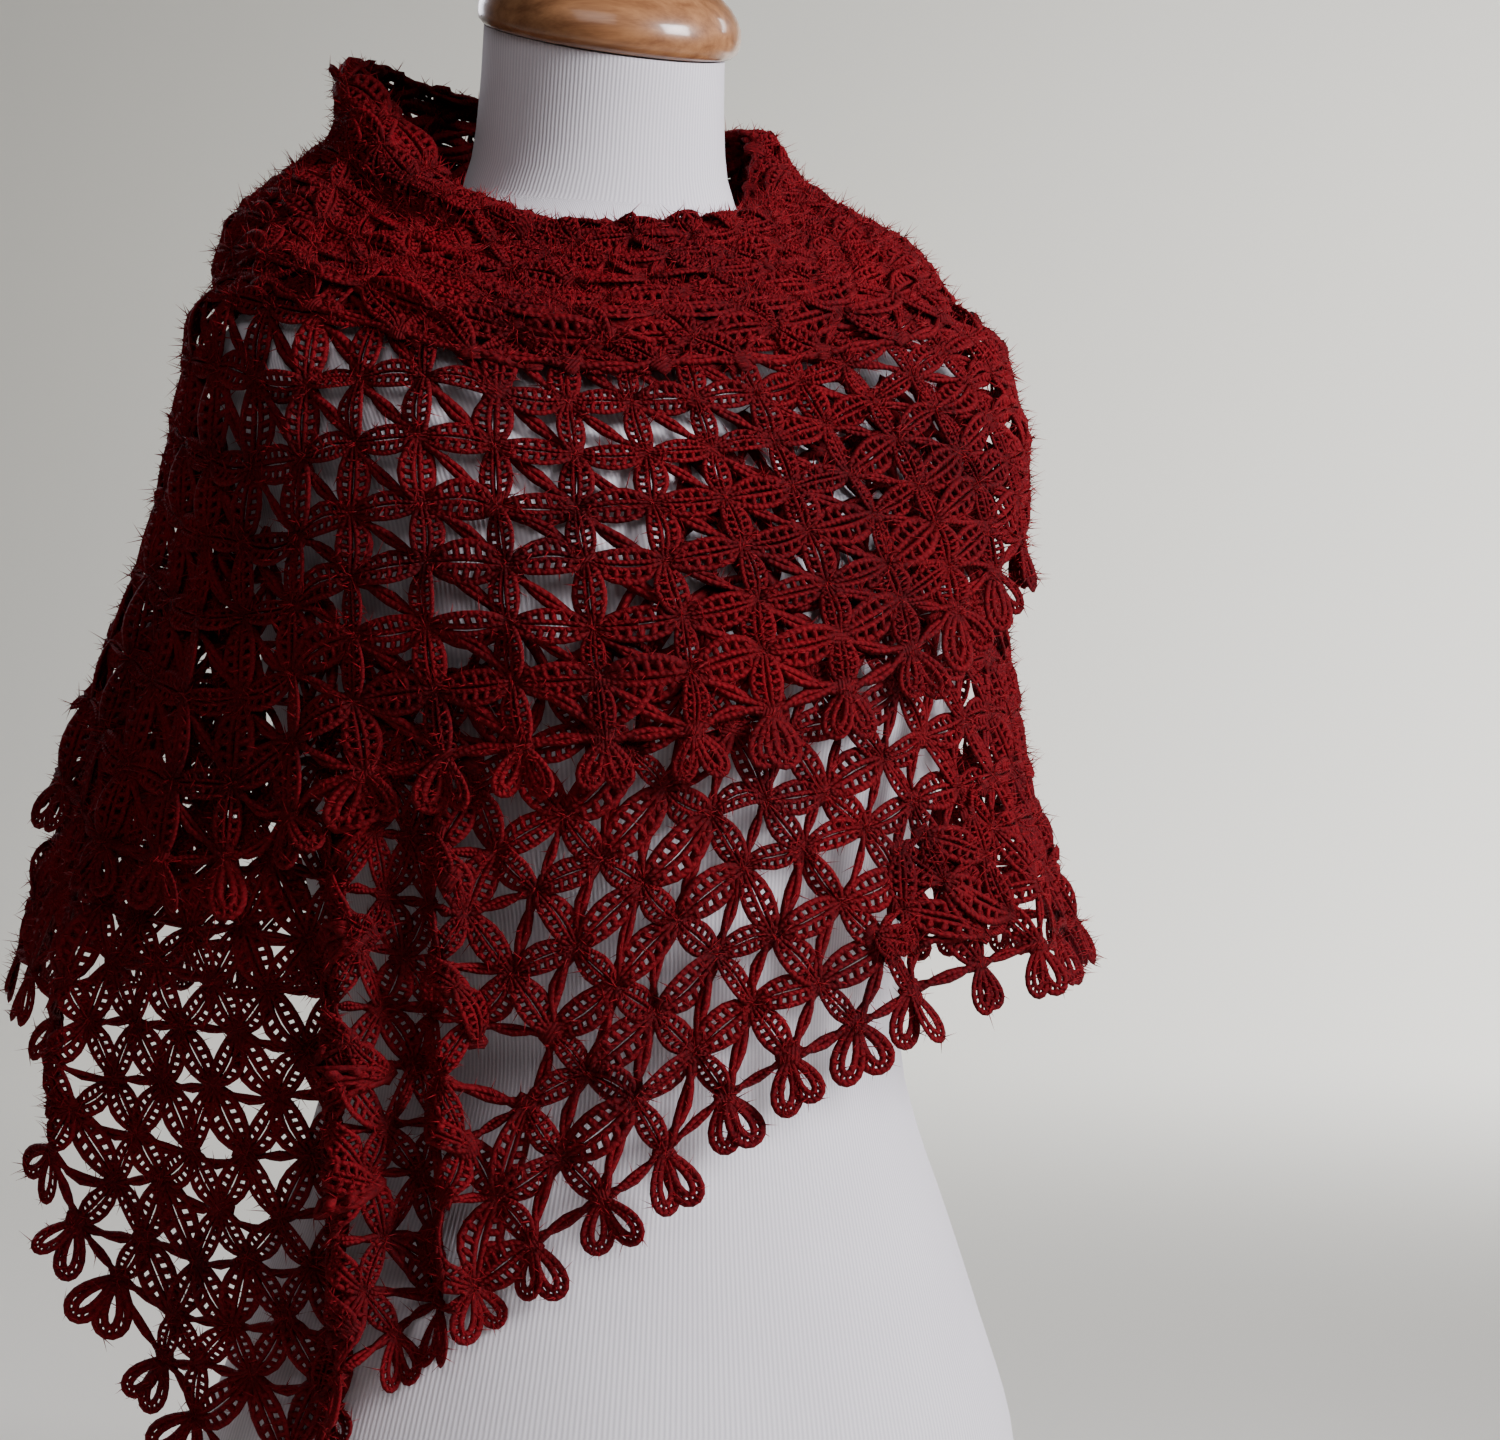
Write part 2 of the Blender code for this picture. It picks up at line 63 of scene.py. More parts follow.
# %% Units
MM = 0.001
NECK_AXIS = Vector((20.6, 13.4, 0)) * MM
print("neck's axis:", [round(value / MM, 1) for value in NECK_AXIS], "mm")

# %% [markdown]
# ## One place for colours and nodes
#
# A colour is given as an sRGB hex value, but shaders work in linear light, so one function
# turns it round. Another adds a node with its settings and its links, which keeps materials short.

# %% Colour and node helpers
def linear(colour):
    """The linear colour, with alpha, of an sRGB hex value."""
    channels = [int(colour[k : k + 2], 16) / 255 for k in (1, 3, 5)]
    return (*(c / 12.92 if c <= 0.04045 else ((c + 0.055) / 1.055) ** 2.4 for c in channels), 1.0)


def add_node(finish, kind, inputs=None, **settings):
    """A node with its settings; an input is a value, or a socket that it is linked to."""
    made = finish.node_tree.nodes.new(kind)
    for name, value in settings.items():
        setattr(made, name, value)
    for name, value in (inputs or {}).items():
        if isinstance(value, bpy.types.NodeSocket):
            finish.node_tree.links.new(value, made.inputs[name])
        else:
            made.inputs[name].default_value = value
    return made


def new_finish(name, **inputs):
    """A material with only a Principled shader, and that shader."""
    finish = bpy.data.materials.new(name)
    finish.use_nodes = True
    shader = finish.node_tree.nodes["Principled BSDF"]
    for socket, value in inputs.items():
        shader.inputs[socket.replace("_", " ")].default_value = value
    return finish, shader


def dress(finish, shader, colour, relief, strength, distance):
    """Links a colour to a finish's shader, and a relief as a bump."""
    bump = add_node(finish, "ShaderNodeBump", {"Height": relief, "Strength": strength, "Distance": distance})
    finish.node_tree.links.new(colour, shader.inputs["Base Color"])
    finish.node_tree.links.new(bump.outputs["Normal"], shader.inputs["Normal"])


# %% [markdown]
# ## The camera, the light and the stage
#
# The form was photographed from about chest height with the camera level. The scale of the picture at
# the neck and the distance give the lens. A soft light stands at the right, as a window would, and a
# weak one fills the shadows, so the left side of the shawl stays dark as it is in the photograph. The
# floor curves up into the wall, so no corner shows behind the form.

# %% Camera
CAMERA_DISTANCE = 1.8  # metres from the neck's axis
CAMERA_SIDE = 0.0666
CAMERA_HEIGHT = 0.414
PICTURE_WIDTH = 0.675  # metres across the picture at the neck's axis
SENSOR = 36.0

camera_data = bpy.data.cameras.new("camera")
camera_data.sensor_width = SENSOR
camera_data.lens = SENSOR * CAMERA_DISTANCE / PICTURE_WIDTH
camera = bpy.data.objects.new("camera", camera_data)
camera.location = NECK_AXIS + Vector((CAMERA_SIDE, -CAMERA_DISTANCE, CAMERA_HEIGHT))
camera.rotation_euler = (math.radians(90), 0, 0)
bpy.context.scene.collection.objects.link(camera)
bpy.context.scene.camera = camera
print("lens", round(camera_data.lens, 1), "mm")

# %% Lights
# name, place, the point it looks at, size in metres, watts, colour, spread in degrees
LIGHTS = (
    ("window", (1.95, -0.95, 1.3), (0.05, -0.02, 0.48), 0.9, 14.6, "#FBFAFF", 64),
    ("fill", (-0.2, -2.1, 1.9), (-0.05, 0.0, 0.62), 1.4, 2.3, "#F6F0F4", 70),
    ("back_fill", (-1.3, 2.4, 1.5), (0.0, 0.0, 0.45), 1.0, 2.6, "#F6F4FF", 60),
    ("wall_wash", (3.0, 2.4, 2.2), (0.75, 3.3, 0.0), 1.2, 118, "#FCFCFF", 112),
)
ROOM_LIGHT = 0.06


def add_light(name, place, aim, size, watts, colour, spread):
    """A square soft light that looks at a point; its spread is in degrees."""
    data = bpy.data.lights.new(name, "AREA")
    data.size = size
    data.energy = watts
    data.spread = math.radians(spread)
    data.color = linear(colour)[:3]
    lamp = bpy.data.objects.new(name, data)
    lamp.location = place
    lamp.rotation_euler = (Vector(aim) - Vector(place)).to_track_quat("-Z", "Y").to_euler()
    bpy.context.scene.collection.objects.link(lamp)


for light in LIGHTS:
    add_light(*light)
world = bpy.data.worlds.new("room")
world.use_nodes = True
room = world.node_tree.nodes["Background"]
room.inputs["Color"].default_value = linear("#F2EFEA")
room.inputs["Strength"].default_value = ROOM_LIGHT
bpy.context.scene.world = world
print("lights:", len(LIGHTS))

# %% Floor and wall
FLOOR_REACH = 4.0  # metres to each side, towards the camera, and up the wall
SWEEP_START = 3.4  # where the floor begins to curve up behind the form
SWEEP_RADIUS = 1.1
SWEEP_STEPS = 12


def mesh_from(name, mesh):
    """Mesh data from a finished bmesh, shaded smooth."""
    data = bpy.data.meshes.new(name)
    mesh.to_mesh(data)
    mesh.free()
    data.shade_smooth()
    return data


def make_floor():
    """A floor that curves up into a wall: its outline is drawn at the left and pulled to the right."""
    sweep = bmesh.new()
    path = [(-FLOOR_REACH, 0), (SWEEP_START, 0)]
    for k in range(1, SWEEP_STEPS + 1):
        turn = math.radians(90) * k / SWEEP_STEPS
        path.append((SWEEP_START + SWEEP_RADIUS * math.sin(turn), SWEEP_RADIUS * (1 - math.cos(turn))))
    path.append((SWEEP_START + SWEEP_RADIUS, FLOOR_REACH))
    line = [sweep.verts.new((-FLOOR_REACH, back, rise)) for back, rise in path]
    edges = [sweep.edges.new(pair) for pair in zip(line, line[1:])]
    pulled = bmesh.ops.extrude_edge_only(sweep, edges=edges)
    moved = [item for item in pulled["geom"] if isinstance(item, bmesh.types.BMVert)]
    bmesh.ops.translate(sweep, vec=(2 * FLOOR_REACH, 0, 0), verts=moved)
    bmesh.ops.recalc_face_normals(sweep, faces=sweep.faces)
    return mesh_from("floor", sweep)


plaster, _ = new_finish("matt_pale_paint", Roughness=0.9, Base_Color=linear("#E6E4DC"))
floor = bpy.data.objects.new("floor", make_floor())
floor.data.materials.append(plaster)
bpy.context.scene.collection.objects.link(floor)
print("floor faces:", len(floor.data.polygons))

# %% [markdown]
# ## Reading the tables
#
# A table gives a few sections, and the shape between them is a smooth curve through its values. This
# is the same reading as in the construction, so the yarn comes out where the walls are.

# %% Smooth reading of a table
def smooth_value(knots, values, at):
    """A smooth curve through values at rising knots, read at one place."""
    last = len(knots) - 1
    i = min(max(sum(knot <= at for knot in knots) - 1, 0), last - 1)
    before, after = max(i - 1, 0), min(i + 2, last)
    step = knots[i + 1] - knots[i]
    t = (at - knots[i]) / step
    slope_a = (values[i + 1] - values[before]) / (knots[i + 1] - knots[before]) * step
    slope_b = (values[after] - values[i]) / (knots[after] - knots[i]) * step
    a, b = values[i], values[i + 1]
    return (
        (2 * t**3 - 3 * t**2 + 1) * a
        + (t**3 - 2 * t**2 + t) * slope_a
        + (3 * t**2 - 2 * t**3) * b
        + (t**3 - t**2) * slope_b
    )


def round_row(table, bearing):
    """A row of a table, read smoothly between its bearings all the way round."""
    turns = [(row[0] + lap, row[1:]) for lap in (-360, 0, 360) for row in table]
    knots = [knot for knot, _ in turns]
    near = sum(knot <= bearing for knot in knots)
    few = turns[near - 3 : near + 3]
    few_knots = [knot for knot, _ in few]
    return [smooth_value(few_knots, [row[c] for _, row in few], bearing) for c in range(len(table[0]) - 1)]


def wrapped(bearing):
    """The same bearing between -180 and 180 degrees."""
    return (bearing + 180) % 360 - 180


def fold_depth(folds, bearing, height):
    """How far the folds push a point out."""
    depth = 0.0
    for at, half_width, deep, start, full in folds:
        aside = abs(wrapped(bearing - at)) / half_width
        if aside < 1:
            share = 0.5 * (1 + math.cos(math.pi * aside))
            depth += share * deep * min(max((start - height) / (start - full), 0.0), 1.0)
    return depth


def polar(bearing, radius, height):
    """A point in metres from a bearing and millimetres round the neck's axis."""
    angle = math.radians(bearing)
    return NECK_AXIS + Vector((radius * math.sin(angle), -radius * math.cos(angle), height)) * MM


def outward_at(point):
    """The level direction from the neck's axis to a point."""
    return Vector((point.x - NECK_AXIS.x, point.y - NECK_AXIS.y, 0)).normalized()


# %% [markdown]
# ## The dress form
#
# The form is a firm torso under a ribbed jersey cover. It is a loft: one circle is extruded upwards, and
# each new ring is pulled to the oval of its section. The frame's form has 36 sides, enough for a wall
# to rest on, and this one has 144, so that its outline and its highlights stay smooth. A UV map
# counts ribs round it, and the neck has fewer ribs than the torso, as its own tube of cover has.

# %% The form's sections
FORM_TURN = 30.0  # bearing that the form's front faces
NECK_TOP = 720.0
NECK_SLANT = 17.0
# height, half width, front depth, back depth, slant of the section in degrees
FORM_SECTIONS = (
    (0, 180, 152, 88, 0),
    (45, 190, 160, 91, 0),
    (90, 193, 164, 92, 0),
    (153, 172, 156, 84, 0),
    (198, 155, 149, 75, 0),
    (232, 141, 144, 68, 0),
    (265, 132, 141, 64, 0),
    (320, 136, 143, 67, 0),
    (390, 152, 150, 77, 0),
    (450, 163, 162, 86, 0),
    (500, 170, 152, 92, 0),
    (540, 178, 126, 95, 0),
    (568, 183, 100, 93, 0),
    (586, 176, 84, 88, 0),
    (600, 150, 74, 82, 0),
    (614, 115, 67, 76, 2),
    (628, 85, 60, 70, 4),
    (644, 66, 54, 66, 7),
    (660, 58, 53, 63, 10),
    (690, 55, 55, 55, 14),
    (NECK_TOP, 54, 59, 49, NECK_SLANT),
)
print("form sections:", len(FORM_SECTIONS))

# %% Loft of the form
FORM_SIDES = 144
RING_STEP = 12.0
NECK_SEAM = 646.0  # under the cowl
SEAM_HALF = 1.0
BASE_EDGE = 2.0
TOP_EDGE = 1.5
TORSO_RIBS = 480
NECK_RIBS = 190
SHARP_EDGE = 50  # degrees; only the base and the neck's top are sharper


def section_at(height):
    """Half width, front, back and slant of the form at a height."""
    knots = [row[0] for row in FORM_SECTIONS]
    return [smooth_value(knots, [row[c] for row in FORM_SECTIONS], height) for c in range(1, 5)]


def form_point(height, angle):
    """A point of the form's surface at a height, an angle round it from its front."""
    half_width, front, back, slant = section_at(height)
    forward = (front if math.cos(angle) > 0 else back) * math.cos(angle)
    rise = -math.tan(math.radians(slant)) * forward
    point = Matrix.Rotation(math.radians(FORM_TURN), 3, "Z") @ Vector(
        (half_width * math.sin(angle), -forward, height + rise)
    )
    return NECK_AXIS + point * MM


def loft_rings(mesh):
    """Rings extruded upwards from one circle: the height and the vertices of each."""
    circle = bmesh.ops.create_circle(mesh, segments=FORM_SIDES, radius=1)["verts"]
    ring = sorted(circle, key=lambda v: math.atan2(v.co.y, v.co.x))
    edges = mesh.edges[:]
    heights = [0.0, BASE_EDGE]
    while heights[-1] < NECK_TOP - RING_STEP:
        heights.append(heights[-1] + RING_STEP)
    heights += [NECK_SEAM - SEAM_HALF, NECK_SEAM + SEAM_HALF, NECK_TOP - TOP_EDGE, NECK_TOP]
    rings = []
    for level, height in enumerate(sorted(heights)):
        if level:
            made = bmesh.ops.extrude_edge_only(mesh, edges=edges)["geom"]
            edges = [item for item in made if isinstance(item, bmesh.types.BMEdge)]
            fresh = set(made)
            ring = [next(e.other_vert(v) for e in v.link_edges if e.other_vert(v) in fresh) for v in ring]
        for k, vertex in enumerate(ring):
            vertex.co = form_point(height, 2 * math.pi * k / FORM_SIDES)
        rings.append((height, ring))
    return rings


def make_form():
    """The torso and neck as a closed loft, with its ribs counted round it."""
    mesh = bmesh.new()
    rings = loft_rings(mesh)
    bmesh.ops.contextual_create(mesh, geom=rings[0][1])
    bmesh.ops.contextual_create(mesh, geom=rings[-1][1])
    ribs = mesh.loops.layers.uv.new("ribs")
    place = {v: (k, height) for height, row in rings for k, v in enumerate(row)}
    for face in mesh.faces:
        marks = [place[loop.vert] for loop in face.loops]
        wraps = max(k for k, _ in marks) - min(k for k, _ in marks) > FORM_SIDES / 2
        for loop, (k, height) in zip(face.loops, marks):
            turn = (k + FORM_SIDES if wraps and k < FORM_SIDES / 2 else k) / FORM_SIDES
            rib_count = TORSO_RIBS if height < NECK_SEAM else NECK_RIBS
            loop[ribs].uv = (turn * rib_count, height / RING_STEP)
    bmesh.ops.recalc_face_normals(mesh, faces=mesh.faces)
    data = mesh_from("dress_form_cover", mesh)
    data.set_sharp_from_angle(angle=math.radians(SHARP_EDGE))
    return data


form_data = make_form()
print("form faces:", len(form_data.polygons))

# %% [markdown]
# ## The jersey cover
#
# The cover is a cotton jersey, knitted in fine upright ribs and pulled tight over the form. Real knitted
# loops would need millions of faces, so a sine of the rib count gives the ribs as a bump, and a fine
# noise gives the stitches. A second, very large noise keeps the white from being the same all over.

# %% Jersey
# Ribbed cotton jersey is matt, with a soft edge of light from its fibres, and shade is painted as a grey
# line in each groove.
# A noise's scale is how often it varies in a metre.
KNIT_SCALE = 900.0  # a stitch in about 1.1 mm
SOILING_SCALE = 9.0  # patches of about 110 mm
KNIT_SHARE = 0.35  # relief of the stitches against the ribs

jersey, jersey_shader = new_finish(
    "white_ribbed_cotton_jersey", Roughness=0.85, Sheen_Weight=0.25, Specular_IOR_Level=0.25
)
rib_map = add_node(jersey, "ShaderNodeUVMap", uv_map="ribs")
rib_place = add_node(jersey, "ShaderNodeSeparateXYZ", {"Vector": rib_map.outputs["UV"]})
rib_turn = add_node(
    jersey, "ShaderNodeMath", {0: rib_place.outputs["X"], 1: 2 * math.pi}, operation="MULTIPLY"
)
rib_wave = add_node(jersey, "ShaderNodeMath", {0: rib_turn.outputs[0]}, operation="SINE")
rib_height = add_node(
    jersey, "ShaderNodeMapRange", {"Value": rib_wave.outputs[0], "From Min": -1.0, "From Max": 1.0}
)
cover_place = add_node(jersey, "ShaderNodeTexCoord").outputs["Object"]
knit = add_node(
    jersey, "ShaderNodeTexNoise", {"Vector": cover_place, "Scale": KNIT_SCALE, "Detail": 2.0}
)
soiling = add_node(
    jersey, "ShaderNodeTexNoise", {"Vector": cover_place, "Scale": SOILING_SCALE, "Detail": 3.0}
)
# painted shade: each rib's groove is a darker grey, from the same sine as the ribs' bump
rib_groove_shade = add_node(
    jersey,
    "ShaderNodeMix",
    {"Factor": rib_height.outputs[0], 6: linear("#E2DFE5"), 7: linear("#F7F5F8")},
    data_type="RGBA",
)
tone = add_node(
    jersey,
    "ShaderNodeMix",
    {"Factor": soiling.outputs["Fac"], 6: linear("#E4E0E4"), 7: linear("#FBFAFC")},
    data_type="RGBA",
)
jersey_colour = add_node(
    jersey,
    "ShaderNodeMix",
    {"Factor": 1.0, 6: rib_groove_shade.outputs[2], 7: tone.outputs[2]},
    data_type="RGBA",
    blend_type="MULTIPLY",
)
knit_height = add_node(
    jersey,
    "ShaderNodeMath",
    {0: knit.outputs["Fac"], 1: KNIT_SHARE, 2: rib_height.outputs[0]},
    operation="MULTIPLY_ADD",
)
dress(jersey, jersey_shader, jersey_colour.outputs[2], knit_height.outputs[0], strength=0.3, distance=0.0004)


def add_piece(name, data, finish, slot_name, *nodes):
    """A finished piece that rides on the frame and stands for its nodes."""
    data.materials.append(finish)
    piece = bpy.data.objects.new(name, data)
    bpy.context.scene.collection.objects.link(piece)
    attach(piece, "root")
    if nodes:
        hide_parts(*nodes)
    return piece


form = add_piece("dress_form_cover", form_data, jersey, "cover", "dress_form")
print("piece:", form.name)

# %% [markdown]
# ## The neck cap
#
# The cap is turned on a lathe from a block of beech and varnished. A lathe is a spin, so its profile is
# drawn once, spun round, and tipped to sit on the slanted neck. The grain of the block runs straight
# across the cap, so the pattern is stretched along one of its axes and doesn't follow the spin.

# %% Cap on the lathe
# radius, height above the neck; the bead at the foot, the dome, the waist and the knob
CAP_PROFILE = (
    (0, 0.4),
    (53, 0.4),
    (56.5, 1.0),
    (58.6, 3.0),
    (59.4, 6.0),
    (59.5, 9.5),
    (58.8, 13.5),
    (56.8, 17.6),
    (53.2, 22.0),
    (48, 26.4),
    (42, 30.0),
    (35, 32.8),
    (26, 35.0),
    (18.5, 36.2),
    (15.2, 37.0),
    (13.7, 38.6),
    (13.9, 41.0),
    (15.0, 44.0),
    (15.2, 47.0),
    (13.8, 50.2),
    (10.8, 52.7),
    (6, 54.1),
    (0, 54.5),
)
CAP_STEPS = 96


def make_cap():
    """The cap's profile spun about its axis, then tipped onto the neck."""
    mesh = bmesh.new()
    profile = [mesh.verts.new(Vector((radius, 0, height)) * MM) for radius, height in CAP_PROFILE]
    for low, high in zip(profile, profile[1:]):
        mesh.edges.new((low, high))
    bmesh.ops.spin(
        mesh,
        geom=mesh.verts[:] + mesh.edges[:],
        cent=(0, 0, 0),
        axis=(0, 0, 1),
        angle=2 * math.pi,
        steps=CAP_STEPS,
        use_merge=True,
    )
    bmesh.ops.remove_doubles(mesh, verts=mesh.verts, dist=0.00001)
    bmesh.ops.recalc_face_normals(mesh, faces=mesh.faces)
    neck_centre = (FORM_SECTIONS[-1][2] - FORM_SECTIONS[-1][3]) / 2
    seat = NECK_TOP - neck_centre * math.tan(math.radians(NECK_SLANT))
    turn = Matrix.Rotation(math.radians(FORM_TURN), 4, "Z")
    place = Matrix.Translation(Vector((0, -neck_centre, seat)) * MM)
    tip = Matrix.Rotation(math.radians(NECK_SLANT), 4, "X")
    matrix = Matrix.Translation(NECK_AXIS) @ turn @ place @ tip
    bmesh.ops.transform(mesh, matrix=matrix, verts=mesh.verts)
    return mesh_from("neck_cap_turned", mesh)


cap_data = make_cap()
print("cap faces:", len(cap_data.polygons))

# %% [markdown]
# ## Varnished beech
#
# Turned beech is warm brown, with straight grain and short flecks, and a clear varnish gives it a soft
# second highlight. A noise that is stretched along one axis reads as grain, and a finer one on the same
# stretched place reads as the flecks.

# %% Beech
GRAIN_TURN = 20  # degrees between the block's grain and the X axis
GRAIN_SCALE = (18, 170, 170)  # a figure about 56 mm long and 6 mm wide
FLECK_SCALE = 7.0  # flecks in each figure
FLECK_SHARE = 0.3

beech, beech_shader = new_finish(
    "varnished_beech", Roughness=0.38, Coat_Weight=0.7, Coat_Roughness=0.12, Specular_IOR_Level=0.4
)
block_place = add_node(beech, "ShaderNodeTexCoord")
along_grain = add_node(
    beech,
    "ShaderNodeMapping",
    {
        "Vector": block_place.outputs["Object"],
        "Rotation": (0, 0, math.radians(GRAIN_TURN)),
        "Scale": GRAIN_SCALE,
    },
)
grain = add_node(
    beech,
    "ShaderNodeTexNoise",
    {"Vector": along_grain.outputs[0], "Scale": 1.0, "Detail": 5.0, "Distortion": 0.4},
)
flecks = add_node(
    beech, "ShaderNodeTexNoise", {"Vector": along_grain.outputs[0], "Scale": FLECK_SCALE, "Detail": 2.0}
)
figure = add_node(
    beech,
    "ShaderNodeMath",
    {0: flecks.outputs["Fac"], 1: FLECK_SHARE, 2: grain.outputs["Fac"]},
    operation="MULTIPLY_ADD",
)
figure_share = add_node(
    beech, "ShaderNodeMapRange", {"Value": figure.outputs[0], "From Min": 0.45, "From Max": 0.9}
)
beech_colour = add_node(
    beech,
    "ShaderNodeMix",
    {"Factor": figure_share.outputs[0], 6: linear("#7E5132"), 7: linear("#B07C52")},
    data_type="RGBA",
)
dress(beech, beech_shader, beech_colour.outputs[2], figure.outputs[0], strength=0.12, distance=0.0005)
cap = add_piece("neck_cap_turned", cap_data, beech, "cap", "neck_cap")
print("piece:", cap.name)

# %% [markdown]
# ## The surfaces that the yarn follows
#
# Three sheets lie on the form and on each other: the lower sheet, the upper turn, and the cowl. Each is
# a grid of points read from its table, lifted clear of what it lies on. The grids aren't shown. They
# are only guides, and a function reads the place and the outward direction at any spot on one.

# %% Lifting clear of what lies under
ON_FORM = 2.2  # least height of the net's middle over the form
ON_SHEET = 3.3  # and over another sheet
REACH = 50.0


def lift(point, under, gap):
    """The point, moved out where it is inside the surface under it or nearer to it than the gap."""
    outward = outward_at(point)
    reach = REACH * MM
    hit, _, _, _ = under.ray_cast(point + outward * reach, -outward, reach)
    if hit:
        point = hit + outward * (gap * MM)
    place, normal, _, _ = under.find_nearest(point)
    offset = point - place
    out = offset.dot(normal)
    aside = (offset - normal * out).length
    if out < gap * MM and aside < gap * MM:
        return point + normal * (gap * MM - out)
    return point


# %% [markdown]
# ## The lower sheet's shape
#
# The lower sheet hangs from the shoulders to the hem in soft folds, steep and deep at the left, where the
# free corner hangs, and nearly flat in front. Each row of its table is a section at one bearing, and each
# fold is a hump or a trough that grows from nothing at one height to its full depth at a lower one.

# %% Lower sheet: sections and folds
LOWER_HEIGHTS = (580, 470, 380, 300, 200, 80)
# bearing, radius at each of the heights, top, hem
LOWER_SHEET = (
    (-180, 100, 112, 120, 132, 140, 145, 575, 306),
    (-150, 95, 104, 114, 128, 138, 145, 575, 304),
    (-120, 108, 138, 172, 202, 216, 225, 575, 306),
    (-90, 146, 190, 232, 254, 262, 268, 572, 314),
    (-77, 166, 194, 233, 254, 260, 264, 568, 306),
    (-70, 176, 195, 230, 248, 250, 252, 558, 286),
    (-66, 180, 194, 226, 241, 240, 240, 550, 238),
    (-63, 182, 193, 221, 235, 232, 230, 545, 192),
    (-58, 184, 191, 215, 226, 220, 215, 535, 154),
    (-52, 179, 188, 205, 212, 206, 201, 515, 114),
    (-45, 169, 184, 194, 198, 192, 187, 490, 97),
    (-37, 154, 178, 185, 186, 180, 175, 470, 124),
    (-28, 140, 171, 178, 178, 172, 168, 458, 154),
    (-17, 127, 167, 172, 171, 165, 162, 455, 172),
    (-5, 115, 166, 170, 168, 162, 160, 457, 200),
    (12, 108, 166, 170, 167, 162, 160, 462, 240),
    (25, 106, 166, 170, 168, 165, 163, 480, 270),
    (40, 110, 166, 173, 178, 180, 182, 520, 290),
    (55, 122, 167, 180, 196, 206, 210, 560, 309),
    (70, 138, 171, 188, 212, 223, 228, 568, 321),
    (90, 155, 177, 194, 220, 232, 237, 572, 324),
    (120, 184, 182, 192, 208, 220, 225, 575, 322),
    (150, 140, 150, 158, 170, 180, 185, 575, 314),
)
# Under the upper turn the lower sheet goes on upwards at the right, where two layers show in the photograph
# bearing, millimetres past the wall's top edge
LOWER_GOES_ON = ((-20, 0), (0, 6), (12, 40), (24, 96), (40, 80), (60, 30), (80, 0))

# The knots of the hem lie a little higher than the wall's edge where their loops hang longest
# bearing, millimetres
HEM_RISE = ((-45, 0), (-30, 5), (-20, 9), (-8, 7), (6, 0))

# bearing, half width in degrees, depth (a trough is negative), where it starts, where it is full
LOWER_FOLDS = (
    (-18.5, 3.2, 13, 410, 300),
    (-24, 3.5, -8, 410, 300),
    (-30.5, 4.8, 25, 400, 270),
    (-37, 3.5, -8, 400, 270),
    (-49, 5.0, 4, 360, 240),
    (-65, 3.6, 14, 390, 290),
    (-71, 4.0, -6, 400, 300),
    (-82, 5.0, 5, 400, 320),
    (-100, 9.0, 9, 420, 320),
    (-128, 10.0, 8, 420, 320),
    (-160, 10.0, 7, 440, 320),
    (168, 9.0, 7, 440, 320),
    (138, 9.0, 8, 440, 330),
    (108, 8.0, 8, 440, 330),
    (84, 7.0, -7, 430, 330),
    (66, 6.0, 9, 410, 340),
    (48, 6.0, -6, 400, 310),
    (30, 7.0, 5, 380, 280),
    (4, 8.0, 5, 360, 240),
)


def lower_edges(bearing):
    """The heights of the lower sheet's top edge and of its hem."""
    *_, top, hem = round_row(LOWER_SHEET, bearing)
    at = wrapped(bearing)
    top += float(np.interp(at, *zip(*LOWER_GOES_ON)))
    hem += float(np.interp(at, *zip(*HEM_RISE)))
    return top, hem


def lower_point(bearing, down):
    """A point of the lower sheet, from 0 at its top edge to 1 at its hem."""
    *radii, _, _ = round_row(LOWER_SHEET, bearing)
    top, hem = lower_edges(bearing)
    height = top + (hem - top) * down
    radius = smooth_value(LOWER_HEIGHTS[::-1], radii[::-1], height)
    return polar(bearing, radius + fold_depth(LOWER_FOLDS, bearing, height), height)


hem_heights = [lower_edges(bearing)[1] for bearing in range(-180, 180)]
print("lower hem from", round(min(hem_heights)), "to", round(max(hem_heights)), "mm")

# %% [markdown]
# ## The upper turn's shape
#
# The upper turn lies over the shoulders like a cape, and its own hem falls to the left. Here each row
# gives five pairs of a radius and a height, because the cloth runs nearly level over the shoulders, where
# a height alone wouldn't say where it is.

# %% Upper turn: sections and folds
# bearing, then radius and height at the top, shoulder, upper arm, chest and hem
UPPER_SHEET = (
    (-180, 74, 640, 97, 602, 109, 562, 116, 510, 126, 450),
    (-150, 74, 640, 96, 602, 105, 562, 111, 500, 124, 425),
    (-120, 78, 640, 120, 608, 138, 570, 154, 500, 184, 405),
    (-90, 82, 636, 166, 602, 181, 567, 197, 490, 233, 398),
    (-75, 82, 634, 176, 600, 187, 562, 202, 482, 236, 384),
    (-62, 82, 632, 178, 598, 188, 556, 198, 470, 226, 360),
    (-44, 82, 630, 158, 594, 178, 549, 189, 470, 204, 360),
    (-37, 80, 628, 144, 592, 170, 548, 185, 470, 192, 382),
    (-25, 79, 625, 130, 590, 161, 548, 178, 470, 182, 396),
    (-6, 78, 620, 112, 590, 143, 545, 172, 470, 177, 404),
    (15, 78, 620, 110, 590, 139, 545, 172, 470, 177, 410),
    (28, 78, 622, 111, 590, 139, 545, 172, 474, 177, 420),
    (43, 80, 624, 117, 590, 143, 548, 173, 492, 180, 436),
    (60, 82, 628, 131, 592, 161, 555, 182, 512, 188, 470),
    (73, 82, 630, 146, 594, 176, 556, 188, 524, 192, 491),
    (90, 82, 634, 163, 594, 186, 556, 191, 525, 188, 497),
    (120, 82, 638, 183, 598, 194, 560, 194, 525, 194, 498),
    (150, 78, 640, 134, 605, 153, 565, 160, 520, 168, 480),
)
